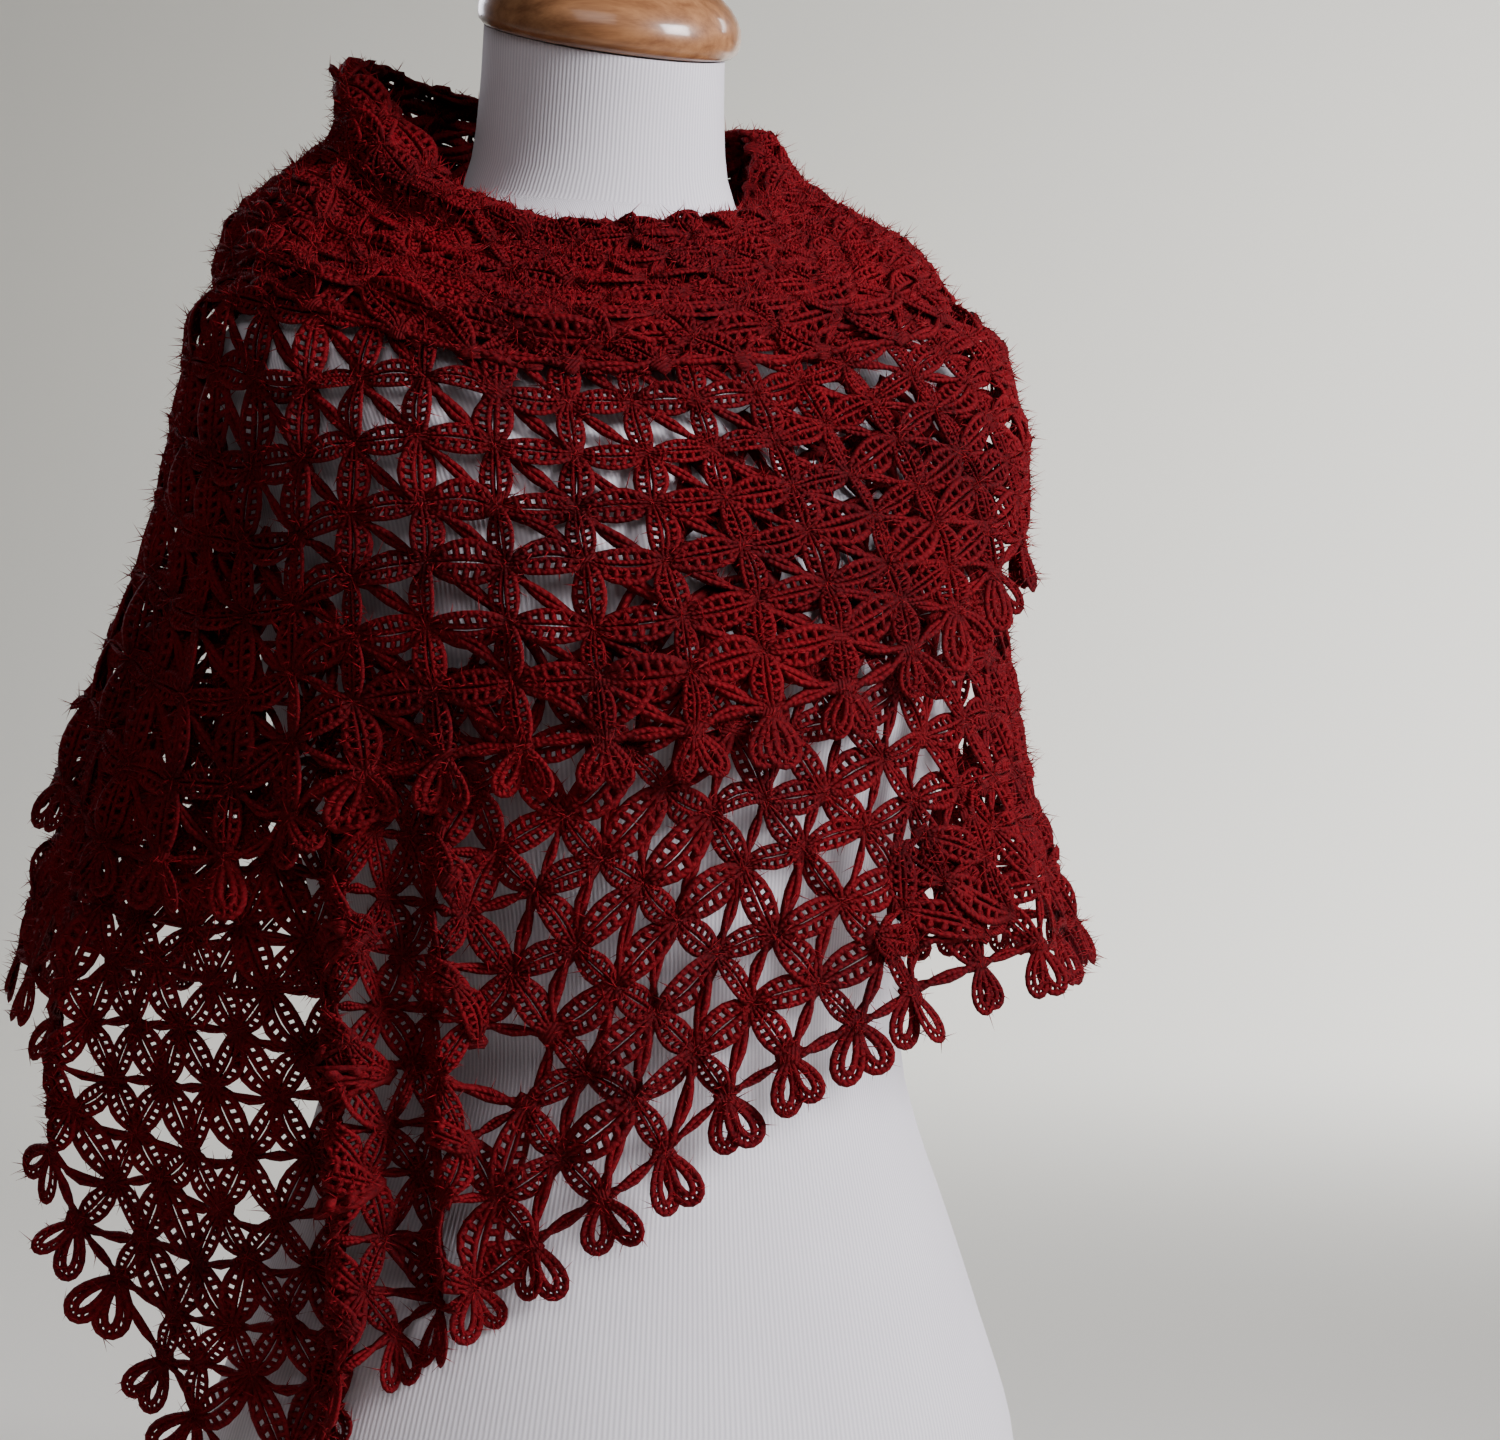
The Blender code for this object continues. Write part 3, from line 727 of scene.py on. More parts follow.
UPPER_FOLDS = (
    (-128, 10.0, 5, 560, 430),
    (-100, 8.0, -4, 560, 430),
    (-82, 6.0, 5, 560, 430),
    (-68, 6.0, -4, 540, 420),
    (-54, 6.0, 6, 520, 400),
    (-34, 6.0, 4, 480, 400),
    (108, 9.0, 4, 580, 510),
    (140, 10.0, 5, 580, 500),
    (172, 10.0, 5, 560, 470),
)
SECTION_SHARES = (0, 0.25, 0.5, 0.75, 1)


def section_point(table, folds, bearing, down):
    """A point of a sheet whose sections are given by five radius and height pairs."""
    row = round_row(table, bearing)
    radius = smooth_value(SECTION_SHARES, row[0::2], down)
    height = smooth_value(SECTION_SHARES, row[1::2], down)
    return polar(bearing, radius + fold_depth(folds, bearing, height), height)


def upper_at(bearing, down):
    """A point of the upper turn, from 0 at the neck to 1 at its hem."""
    return section_point(UPPER_SHEET, UPPER_FOLDS, bearing, down)


print("upper hem in front at", round(upper_at(0, 1).z / MM), "mm")

# %% [markdown]
# ## The cowl's shape
#
# The shawl's long edge is gathered round the neck in soft rolls, low below the throat and standing up
# behind. The table gives the roll, and each crease is a smooth dent in it, or a swelling between dents.

# %% Cowl: sections and creases
# bearing, then radius and height at the neck's edge, crest, trough, roll and tucked edge
COWL = (
    (-180, 86, 690, 97, 684, 105, 656, 113, 628, 119, 604),
    (-150, 92, 700, 103, 694, 109, 660, 113, 630, 118, 604),
    (-120, 104, 710, 114, 705, 119, 669, 136, 640, 148, 612),
    (-100, 114, 713, 122, 707, 127, 677, 158, 648, 171, 618),
    (-90, 108, 706, 119, 702, 129, 672, 162, 643, 173, 614),
    (-80, 94, 686, 112, 692, 130, 664, 162, 636, 172, 610),
    (-70, 79, 662, 100, 674, 128, 652, 158, 630, 167, 604),
    (-60, 70, 646, 92, 655, 122, 637, 158, 619, 171, 603),
    (-40, 66, 634, 86, 641, 114, 622, 148, 603, 158, 584),
    (-20, 63, 626, 83, 630, 103, 609, 136, 589, 136, 567),
    (0, 62, 623, 82, 626, 97, 605, 128, 584, 125, 562),
    (30, 62, 627, 82, 629, 95, 608, 123, 587, 120, 566),
    (60, 62, 634, 84, 637, 101, 618, 128, 598, 133, 578),
    (90, 64, 642, 80, 648, 112, 640, 139, 624, 152, 602),
    (120, 78, 682, 90, 679, 112, 653, 150, 626, 168, 606),
    (150, 84, 686, 96, 681, 109, 654, 128, 627, 138, 608),
)

# Creases of the cowl, where the soft roll sinks in on itself
# bearing, half width in degrees, share down, half height as a share, depth
COWL_CREASES = (
    (-66, 30, 0.46, 0.08, -10),
    (-50, 22, 0.7, 0.07, -8),
    (-18, 36, 0.64, 0.07, -9),
    (16, 34, 0.36, 0.07, -8),
    (50, 30, 0.6, 0.08, -10),
    (88, 26, 0.36, 0.08, -8),
    (-40, 26, 0.3, 0.07, 5),
    (-6, 24, 0.84, 0.07, 5),
    (36, 30, 0.48, 0.06, 5),
    (125, 34, 0.55, 0.09, -5),
    (170, 36, 0.42, 0.09, -4),
    (-135, 34, 0.6, 0.09, -5),
    (-96, 22, 0.34, 0.08, -4),
)


def cowl_at(bearing, down):
    """A point of the cowl, pushed in or out by its creases."""
    point = section_point(COWL, (), bearing, down)
    outward = outward_at(point)
    for at, half_width, level, half_height, depth in COWL_CREASES:
        aside = wrapped(bearing - at) / half_width
        below = (down - level) / half_height
        point = point + outward * (depth * MM * math.exp(-(aside**2) - below**2))
    return point


print("cowl's edge from", round(cowl_at(0, 0).z / MM), "to", round(cowl_at(180, 0).z / MM), "mm")

# %% Grids over the shapes
TURN_STEPS = 480  # columns of a grid, all the way round
DOWN_STEPS = 44
SMOOTHING = 0.4
SMOOTHING_ROUNDS = 2


def unit(vectors):
    """The same directions with a length of 1, along the last axis."""
    return vectors / np.maximum(np.linalg.norm(vectors, axis=-1, keepdims=True), 1e-12)


def column_points(point_at, bearing, even):
    """The points down one column; even ones lie the same length apart."""
    points = [point_at(bearing, k / DOWN_STEPS) for k in range(DOWN_STEPS + 1)]
    if not even:
        return points
    run = np.cumsum([0.0] + [(b - a).length for a, b in zip(points, points[1:])])
    wanted = np.linspace(0, run[-1], DOWN_STEPS + 1)
    flat = np.array([tuple(point) for point in points])
    columns = [np.interp(wanted, run, flat[:, axis]) for axis in range(3)]
    return [Vector(point) for point in np.stack(columns, axis=1)]


def make_sheet(point_at, unders, even=True):
    """The grid of a sheet as an array, with its normals, and a search tree over it."""
    grid = []
    for k in range(TURN_STEPS):
        column = column_points(point_at, -180 + 360 * k / TURN_STEPS, even)
        for under, gap in unders:
            column = [lift(point, under, gap) for point in column]
        grid.append(column)
    points = np.array([[tuple(point) for point in column] for column in grid])
    kept = 1 - SMOOTHING
    for _ in range(SMOOTHING_ROUNDS):
        middle = (np.roll(points, 1, axis=0) + np.roll(points, -1, axis=0)) / 2
        points = points * kept + middle * SMOOTHING
        points[:, 1:-1] = points[:, 1:-1] * kept + (points[:, :-2] + points[:, 2:]) * (SMOOTHING / 2)
    for spot in np.ndindex(points.shape[:2]):
        for under, gap in unders:
            points[spot] = lift(Vector(points[spot]), under, gap)
    across = np.roll(points, -1, axis=0) - np.roll(points, 1, axis=0)
    normals = unit(np.cross(across, np.gradient(points, axis=1)))
    flat = [Vector(point) for column in points for point in column]
    rows = DOWN_STEPS + 1
    faces = []
    for i in range(TURN_STEPS):
        n = (i + 1) % TURN_STEPS
        for j in range(DOWN_STEPS):
            faces.append((i * rows + j, i * rows + j + 1, n * rows + j + 1, n * rows + j))
    tree = BVHTree.FromPolygons(flat, faces)
    return {"points": points, "normals": normals, "tree": tree}


def read_sheet(sheet, bearings, downs):
    """Places and outward directions on a sheet at arrays of bearings and shares down."""
    column = ((np.asarray(bearings) + 180) % 360) / 360 * TURN_STEPS
    row = np.clip(np.asarray(downs), 0, 1) * DOWN_STEPS
    i, j = np.floor(column).astype(int), np.minimum(np.floor(row).astype(int), DOWN_STEPS - 1)
    u, v = (column - i)[..., None], (row - j)[..., None]
    i %= TURN_STEPS
    n = (i + 1) % TURN_STEPS
    found = []
    for grid in (sheet["points"], sheet["normals"]):
        found.append(
            grid[i, j] * (1 - u) * (1 - v)
            + grid[n, j] * u * (1 - v)
            + grid[i, j + 1] * (1 - u) * v
            + grid[n, j + 1] * u * v
        )
    places, normals = found
    return places, unit(normals)


def tree_of(data):
    """A search tree over a mesh."""
    points = [vertex.co.copy() for vertex in data.vertices]
    return BVHTree.FromPolygons(points, [tuple(face.vertices) for face in data.polygons])


# %% Three sheets, one over the other
form_tree = tree_of(form.data)
on_form = (form_tree, ON_FORM)
lower = make_sheet(lower_point, [on_form], even=False)
upper = make_sheet(upper_at, [on_form, (lower["tree"], ON_SHEET)])
cowl = make_sheet(cowl_at, [on_form, (upper["tree"], ON_SHEET)])
for name, sheet in (("lower", lower), ("upper", upper), ("cowl", cowl)):
    # an outward normal points away from the axis
    middle = sheet["points"][:, DOWN_STEPS // 2] - np.array(NECK_AXIS)
    outward = (sheet["normals"][:, DOWN_STEPS // 2] * middle).sum() > 0
    if not outward:
        sheet["normals"] *= -1
    print(name, "sheet: normals", "kept" if outward else "turned")

# %% [markdown]
# ## The yarn motifs
#
# The lace repeats four things: a petal, a length of chain, the knot in the middle of a flower, and a
# hanging loop at the hem. Each is modelled once, flat, from rings bridged along the way the yarn runs.
# Yarn in a petal runs round it twice, and short stitches join the two turns and leave eyelets between.

# %% A strand of yarn
YARN = 1.52  # radius across; brushed hairs fill it out
YARN_FLAT = 0.64  # its height as a share of its width, since the lace lies pressed
STITCH = 1.68  # radius of the short stitches across


def new_motif():
    """An empty mesh for a motif, and its layer of yarn coordinates."""
    mesh = bmesh.new()
    return mesh, mesh.loops.layers.uv.verify()


def add_strand(mesh, uv, points, radius, sides, closed=False):
    """A length of yarn: a ring at each point, square to its run, bridged to the next one."""
    points = [Vector(point) for point in points]
    last = len(points) - 1
    rings, marks, length = [], {}, 0.0
    for k, point in enumerate(points):
        ahead = points[(k + 1) % len(points)] if closed else points[min(k + 1, last)]
        behind = points[k - 1] if closed else points[max(k - 1, 0)]
        run = (ahead - behind).normalized()
        side = run.cross(Vector((0, 0, 1))).normalized()
        up = side.cross(run)
        turn = Matrix((side, up * YARN_FLAT, run)).transposed().to_4x4()
        made = bmesh.ops.create_circle(
            mesh, segments=sides, radius=radius, matrix=Matrix.Translation(point) @ turn
        )["verts"]
        if k:
            length += (point - points[k - 1]).length
        for n, vertex in enumerate(made):
            marks[vertex] = (length, n / sides)
        rings.append(list({edge for vertex in made for edge in vertex.link_edges}))
    pairs = list(zip(rings, rings[1:]))
    if closed:
        pairs.append((rings[-1], rings[0]))
    faces = []
    for low, high in pairs:
        faces += bmesh.ops.bridge_loops(mesh, edges=low + high)["faces"]
    if not closed:
        for ring in (rings[0], rings[-1]):
            faces += bmesh.ops.contextual_create(mesh, geom=ring)["faces"]
    for face in faces:
        turns = [marks[loop.vert][1] for loop in face.loops]
        for loop, turn in zip(face.loops, turns):
            around = turn + 1 if max(turns) - min(turns) > 0.5 and turn < 0.5 else turn
            loop[uv].uv = (marks[loop.vert][0], around)


def motif_arrays(mesh):
    """A finished motif as arrays: points, corners, first corner of each face, and yarn coordinates."""
    bmesh.ops.recalc_face_normals(mesh, faces=mesh.faces)
    mesh.verts.index_update()
    uv = mesh.loops.layers.uv.verify()
    points = np.array([tuple(vertex.co) for vertex in mesh.verts])
    corners = np.array([loop.vert.index for face in mesh.faces for loop in face.loops])
    yarn = np.array([tuple(loop[uv].uv) for face in mesh.faces for loop in face.loops])
    sizes = np.array([len(face.verts) for face in mesh.faces])
    mesh.free()
    triangles = int((sizes - 2).sum())
    starts = np.concatenate([[0], np.cumsum(sizes)[:-1]])
    # painted shade near the knots, from 0 for none to 1 for the darkest; each yarn motif sets its own
    gather = np.ones(len(points))
    return {
        "points": points,
        "corners": corners,
        "starts": starts,
        "yarn": yarn,
        "gather": gather,
        "triangles": triangles,
    }


# %% Petals
PETAL_RUN = 32.0  # length that the petal is drawn at; each one is then fitted between two knots
PETAL_HALF = 6.3  # from its midline to its outer turn
PETAL_SLIT = 1.2  # from its midline to its inner turn
PETAL_STATIONS = 7
PETAL_END = 0.02  # share of the length that is left bare at each end
PETAL_STITCHES = (0.24, 0.38, 0.52, 0.66, 0.8)
PLAIN_WIDTH = 0.65  # a plain petal's turns lie nearer to its midline
PLAIN_YARN = 1.7  # and are thicker


def fitted(motif):
    """An arm with its length made 1, and painted shade marked at its ends, where it meets the knots."""
    motif["points"][:, 1] /= PETAL_RUN
    # painted shade: an arm darkens towards both ends, where it meets the knots
    motif["gather"] = np.clip(abs(2 * motif["points"][:, 1] - 1), 0, 1) ** 2.2
    return motif


def petal_reach(t):
    """How wide the petal is at a share of its length: narrow at both knots, widest past the middle."""
    return math.sin(math.pi * min(max(t, 0), 1) ** 1.1) ** 0.7


def petal_stations(count):
    """Shares of a petal's length, evenly from one bare end to the other."""
    return [PETAL_END + (1 - 2 * PETAL_END) * k / (count - 1) for k in range(count)]


def petal_motif():
    """Two turns of yarn on each side of a slit, joined by short stitches, drawn along Y from 0 to 1."""
    mesh, uv = new_motif()
    for side in (-1, 1):
        for half, height, sides in ((PETAL_HALF, 0.0, 4), (PETAL_SLIT, 0.55, 3)):
            points = []
            for t in petal_stations(PETAL_STATIONS):
                dome = 0.5 * math.sin(math.pi * t)
                points.append((side * (half * petal_reach(t) + 0.35), t * PETAL_RUN, height + dome))
            add_strand(mesh, uv, points, YARN, sides)
        for t in PETAL_STITCHES:
            reach = petal_reach(t)
            height = 0.3 + 0.5 * math.sin(math.pi * t)
            inner = (side * PETAL_SLIT * reach, t * PETAL_RUN + 0.6, height)
            outer = (side * PETAL_HALF * reach, t * PETAL_RUN - 0.6, height)
            add_strand(mesh, uv, (inner, outer), STITCH, 3)
    return fitted(motif_arrays(mesh))


def plain_petal_motif():
    """A petal for a layer that another one covers: two thick turns of yarn and no eyelets."""
    mesh, uv = new_motif()
    for side in (-1, 1):
        points = []
        for t in petal_stations(PETAL_STATIONS - 1):
            points.append((side * (PLAIN_WIDTH * PETAL_HALF * petal_reach(t) + 0.3), t * PETAL_RUN, 0.4))
        add_strand(mesh, uv, points, YARN * PLAIN_YARN, 3)
    return fitted(motif_arrays(mesh))


petal, plain_petal = petal_motif(), plain_petal_motif()
print("petal", petal["triangles"], "triangles, plain", plain_petal["triangles"])

# %% Chain and knot
CHAIN_STATIONS = 7
CHAIN_TWISTS = 2.0
CHAIN_HALF = 1.25  # how far its plies swing from the midline
KNOT_HALF = 5.0
KNOT_HEIGHT = 1.5
KNOT_SHADE = 0.55  # how deep in shadow a knot is, from 0 to 1


def chain_motif():
    """A chain of single stitches: two plies that wind round each other."""
    mesh, uv = new_motif()
    for start in (0, math.pi):
        points = []
        for k in range(CHAIN_STATIONS):
            t = k / (CHAIN_STATIONS - 1)
            turn = start + CHAIN_TWISTS * math.pi * t
            points.append((CHAIN_HALF * math.cos(turn), t * PETAL_RUN, 0.5 * math.sin(turn)))
        add_strand(mesh, uv, points, YARN * 1.15, 3)
    return fitted(motif_arrays(mesh))


def knot_motif():
    """The gathered middle of a flower: a flat lump of overlapping stitches."""
    mesh, uv = new_motif()
    bmesh.ops.create_uvsphere(mesh, u_segments=9, v_segments=4, radius=1.0)
    for vertex in mesh.verts:
        x, y, z = vertex.co
        turn = math.atan2(y, x)
        swell = 1 + 0.16 * math.cos(6 * turn) + 0.1 * math.sin(5 * turn + 4 * z)
        vertex.co = Vector((KNOT_HALF * swell * x, KNOT_HALF * swell * y, KNOT_HEIGHT * z))
    for face in mesh.faces:
        for loop in face.loops:
            loop[uv].uv = (loop.vert.co.x * 1.5, loop.vert.co.y * 0.4)
    motif = motif_arrays(mesh)
    # painted shade: the knot is darkened, as the shade where many strands meet
    motif["gather"] *= KNOT_SHADE
    return motif


chain, knot = chain_motif(), knot_motif()
print("chain", chain["triangles"], "triangles, knot", knot["triangles"])

# %% Hem loop
LOOP_RUN = 23.0
LOOP_HALF = 6.0
BAND = 3.3  # from the outer turn to the inner turn
LOOP_START = 2.0  # where the inner turn starts below the knot
OUTER_STATIONS = 18
INNER_STATIONS = 14
LOOP_STITCHES = 12


def teardrop(turn, half, first, last):
    """A point of a teardrop that starts narrow at first and is round at last."""
    x = half * math.sin(turn) * math.sin(turn / 2) ** 1.1 * 1.25
    return x, first + (last - first) * (1 - math.cos(turn)) / 2


def outer_drop(turn, height):
    """A point of the hem loop's outer turn."""
    return (*teardrop(turn, LOOP_HALF, 0.0, LOOP_RUN), height)


def inner_drop(turn, height):
    """A point of the hem loop's inner turn."""
    return (*teardrop(turn, LOOP_HALF - BAND, LOOP_START, LOOP_RUN - BAND), height)


def loop_motif():
    """A hanging loop at the hem: a teardrop of two turns with eyelets between them."""
    mesh, uv = new_motif()
    outer = [outer_drop(2 * math.pi * (k + 0.5) / OUTER_STATIONS, 0.0) for k in range(OUTER_STATIONS)]
    add_strand(mesh, uv, outer, YARN, 4, closed=True)
    inner = [inner_drop(2 * math.pi * (k + 0.5) / INNER_STATIONS, 0.5) for k in range(INNER_STATIONS)]
    add_strand(mesh, uv, inner, YARN * 0.95, 4, closed=True)
    for k in range(LOOP_STITCHES):
        # the narrow top of the loop has no room for stitches
        turn = 2 * math.pi * (k + 1.8) / (LOOP_STITCHES + 2.6)
        add_strand(mesh, uv, (inner_drop(turn, 0.3), outer_drop(turn, 0.3)), STITCH * 0.6, 3)
    motif = motif_arrays(mesh)
    # painted shade: the loop darkens towards its top, where it hangs from the knot, and a little all along
    motif["gather"] = np.clip(1 - motif["points"][:, 1] / 9, 0.15, 1)
    return motif


hem_loop = loop_motif()
print("hem loop", hem_loop["triangles"], "triangles")

# %% [markdown]
# ## The net
#
# The flowers' middles lie on a slanting grid, and three kinds of arm leave each of them: two petals and
# a chain. The cloth turns as it is wound, so which of the three directions is the chain changes from
# stretch to stretch. Where a hem cuts across the rows, triangles between the middles give the arms.

# %% Rows of flowers
FLOWER = 35.0  # along the hem
HEM_READINGS = 720
RADIUS_HINT = 190.0  # rough radius of the shawl, which turns small moves into degrees
DEGREES_A_RADIAN = 57.3


def hem_run(point_at, bearings):
    """The length along the hem up to each bearing."""
    points = [point_at(bearing, 1.0) for bearing in bearings]
    return np.cumsum([0.0] + [(b - a).length / MM for a, b in zip(points, points[1:])])


def even_columns(point_at, first, last, flowers):
    """A reading from a column number to a bearing, with the flowers evenly along the hem."""
    bearings = np.linspace(first, last, HEM_READINGS)
    run = hem_run(point_at, bearings)
    return lambda column: np.interp(np.asarray(column) / flowers, run / run[-1], bearings)


def slanted_net(columns, rows, shift, arms, closed):
    """Knots as (column, row), petals and chains as pairs of knots."""
    spots, index = [], {}
    for row in range(rows + 1):
        low = 0 if closed else -int(shift * rows) - 1
        high = columns if closed else columns + int(shift * rows) + 1
        for column in range(low, high):
            place = column + 0.5 + shift * (row - rows)
            if closed or 0 <= place <= columns:
                index[column, row] = len(spots)
                spots.append((place, row))
    petals, chains = [], []
    steps = {"row": (1, 0), "down": (0, 1), "ahead": (1, 1), "back": (-1, 1)}
    for (column, row), at in index.items():
        for arm, kind in arms.items():
            step, drop = steps[arm]
            beside = column + step
            other = index.get((beside % columns if closed else beside, row + drop))
            if other is None:
                continue
            edge = row in (0, rows) and arm == "row"
            (chains if kind == "chain" or edge else petals).append((at, other))
    return spots, petals, chains


def jittered(bearings, downs, height, moves):
    """Knots moved a little by chance, on a sheet of about this height."""
    bearings = bearings + chance.normal(0, moves, len(bearings)) / RADIUS_HINT * DEGREES_A_RADIAN
    return bearings, np.clip(downs + chance.normal(0, moves, len(downs)) / height, 0, 1)


# %% Arms between knots
ARM_TILT = 13.0  # degrees that an arm turns about its own run, by chance
ARM_STATIONS = 15  # places at which an arm's run is read from its sheet
WIDTH_RANGE = (0.85, 1.15)  # an arm's width follows its length within these shares
RISE_VARIETY = 0.25


def between_knots(motif, sheet, spots, pairs, width, bow, rise, raised):
    """A motif fitted between pairs of knots: an array of points for each pair."""
    bearings, downs = spots
    first, second = np.array(pairs).T
    turn = (bearings[second] - bearings[first] + 180) % 360 - 180
    along = np.linspace(0, 1, ARM_STATIONS)
    at_bearing = bearings[first][:, None] + turn[:, None] * along
    at_down = downs[first][:, None] + (downs[second] - downs[first])[:, None] * along
    places, normals = read_sheet(sheet, at_bearing, at_down)
    sides = unit(np.cross(unit(np.gradient(places, axis=1)), normals))
    arch = np.sin(np.pi * along)[None, :, None]
    count = len(pairs)
    bows = chance.normal(0, bow, count)[:, None, None] * MM
    rises = (rise + chance.normal(0, RISE_VARIETY, count))[:, None, None] * MM
    places = places + sides * arch * bows + normals * (arch * rises + raised * MM)
    flat = motif["points"]
    at = np.clip(flat[:, 1], 0, 1) * (ARM_STATIONS - 1)
    low = np.minimum(at.astype(int), ARM_STATIONS - 2)
    share = (at - low)[None, :, None]
    middles, ups, rights = (
        grid[:, low] * (1 - share) + grid[:, low + 1] * share for grid in (places, normals, sides)
    )
    spans = np.linalg.norm(places[:, -1] - places[:, 0], axis=1) / MM
    widths = np.clip(spans / PETAL_RUN, *WIDTH_RANGE) * chance.normal(1, width, count)
    tilts = chance.normal(0, math.radians(ARM_TILT), count)[:, None, None]
    across = flat[:, 0][None, :, None] * widths[:, None, None] * MM
    up = flat[:, 2][None, :, None] * MM
    aside = across * np.cos(tilts) - up * np.sin(tilts)
    out = across * np.sin(tilts) + up * np.cos(tilts)
    return middles + rights * aside + ups * out


# %% Knots and hem loops
KNOT_VARIETY = 0.12
BESIDE = 0.4  # degrees to the next reading, for the direction round a sheet
HEM_STEP = 2  # and to each side, for the direction along a hem
LOOP_SPLAY = 21.0  # degrees that each loop of a pair swings away from the middle
SPLAY_VARIETY = 6
TILT_VARIETY = 0.25  # radians
LOOP_VARIETY = 0.07
WIDTH_VARIETY = 0.1
# A loop hangs partly straight down, partly square to its hem and a little outwards. Each share is given for
# a level hem, and then what a steep one adds, where the edge curls and its loops point out.
HANG_DOWN = (0.75, -0.35)
HANG_SQUARE = (0.25, 0.3)
HANG_OUT = (0.1, 0.15)


def frames_at(sheet, bearings, downs):
    """Place, outward direction, direction round, and direction down of a sheet at some spots."""
    places, normals = read_sheet(sheet, bearings, downs)
    beside, _ = read_sheet(sheet, bearings + BESIDE, downs)
    rounds = beside - places
    rounds = unit(rounds - normals * (rounds * normals).sum(axis=1, keepdims=True))
    falls = unit(np.array([0.0, 0.0, -1.0]) - normals * -normals[:, 2:3])
    return places, normals, rounds, falls


def on_knots(motif, sheet, spots, raised):
    """The knot at each spot, turned by chance."""
    bearings, downs = spots
    places, normals, rounds, _ = frames_at(sheet, bearings, downs)
    others = np.cross(normals, rounds)
    turn = chance.uniform(0, 2 * math.pi, len(bearings))[:, None]
    x_axis = rounds * np.cos(turn) + others * np.sin(turn)
    y_axis = np.cross(normals, x_axis)
    size = chance.normal(1, KNOT_VARIETY, len(bearings))[:, None, None]
    flat = motif["points"]
    return (places + normals * (raised * MM))[:, None] + size * MM * (
        x_axis[:, None] * flat[:, 0][None, :, None]
        + y_axis[:, None] * flat[:, 1][None, :, None]
        + normals[:, None] * flat[:, 2][None, :, None]
    )


def hanging_loops(sheet, spots, unders):
    """Two loops below each knot of a hem."""
    bearings, downs = spots
    places, normals, _, falls = frames_at(sheet, bearings, downs)
    ahead, _ = read_sheet(sheet, bearings + HEM_STEP, downs)
    behind, _ = read_sheet(sheet, bearings - HEM_STEP, downs)
    along = unit(ahead - behind)
    steep = abs(along[:, 2:3])
    square = np.cross(along, normals)
    square *= np.where((square * falls).sum(axis=1, keepdims=True) < 0, -1.0, 1.0)
    hangs = unit(
        falls * (HANG_DOWN[0] + HANG_DOWN[1] * steep)
        + square * (HANG_SQUARE[0] + HANG_SQUARE[1] * steep)
        + normals * (HANG_OUT[0] + HANG_OUT[1] * steep**2)
    )
    sides = unit(along - hangs * (along * hangs).sum(axis=1, keepdims=True))
    faces = np.cross(sides, hangs)
    outward = np.where((faces * normals).sum(axis=1, keepdims=True) < 0, -1.0, 1.0)
    faces *= outward
    sides *= outward
    flat = hem_loop["points"]
    found = []
    for place, hang, side, face in zip(places, hangs, sides, faces):
        for way in (-1, 1):
            splay = math.radians(way * LOOP_SPLAY + chance.normal(0, SPLAY_VARIETY))
            down = hang * math.cos(splay) + side * math.sin(splay)
            across = side * math.cos(splay) - hang * math.sin(splay)
            tilt = chance.normal(0, TILT_VARIETY)
            turned = across * math.cos(tilt) + face * math.sin(tilt)
            size = chance.normal(1, LOOP_VARIETY)
            width = chance.normal(1, WIDTH_VARIETY)
            bases = place + (turned * flat[:, :1] * width + down * flat[:, 1:2]) * size * MM
            for k, base in enumerate(bases):
                point = Vector(base)
                for under, gap in unders:
                    point = lift(point, under, gap)
                bases[k] = point
            found.append(bases + face * flat[:, 2:] * MM)
    return np.array(found)


# %% Joining copies
def joined_mesh(name, groups):
    """One mesh from many copies of motifs: groups are (motif, an array of points for each copy)."""
    points, corners, starts, yarn, gather = [], [], [], [], []
    point_count = corner_count = 0
    for motif, copies in groups:
        if not len(copies):
            continue
        count, size = len(copies), len(motif["points"])
        points.append(copies.reshape(-1, 3))
        steps = np.arange(count)[:, None]
        corners.append((motif["corners"][None] + steps * size + point_count).ravel())
        starts.append((motif["starts"][None] + steps * len(motif["corners"]) + corner_count).ravel())
        slides = np.stack([chance.uniform(0, 50, count), chance.uniform(0, 1, count)], axis=1)
        yarn.append((motif["yarn"][None] + slides[:, None]).reshape(-1, 2))
        gather.append(np.tile(motif["gather"], count))
        point_count += count * size
        corner_count += count * len(motif["corners"])
    data = bpy.data.meshes.new(name)
    data.vertices.add(point_count)
    data.loops.add(corner_count)
    starts = np.concatenate(starts)
    data.polygons.add(len(starts))
    data.vertices.foreach_set("co", np.concatenate(points).ravel().astype(np.float32))
    data.loops.foreach_set("vertex_index", np.concatenate(corners).astype(np.int32))
    data.polygons.foreach_set("loop_start", starts.astype(np.int32))
    data.update(calc_edges=True)
    layer = data.uv_layers.new(name="yarn")
    layer.uv.foreach_set("vector", np.concatenate(yarn).ravel().astype(np.float32))
    # the painted shade near the knots goes to the yarn's finish as an attribute
    mark = data.attributes.new("gather", "FLOAT", "POINT")
    mark.data.foreach_set("value", np.concatenate(gather).astype(np.float32))
    data.validate()
    data.shade_smooth()
    return data


def triangle_count(data):
    """Triangles of a mesh, once its faces are split into triangles."""
    return sum(len(face.vertices) - 2 for face in data.polygons)


# %% [markdown]
# ## The mohair yarn
#
# Mohair is a long smooth hair brushed out of a thin core, so the yarn is soft, deep in colour and
# lighter where its hairs catch the light. The colour varies in broad patches and in small flecks, and
# a slanting ridge along the yarn's own coordinates shows its twist.

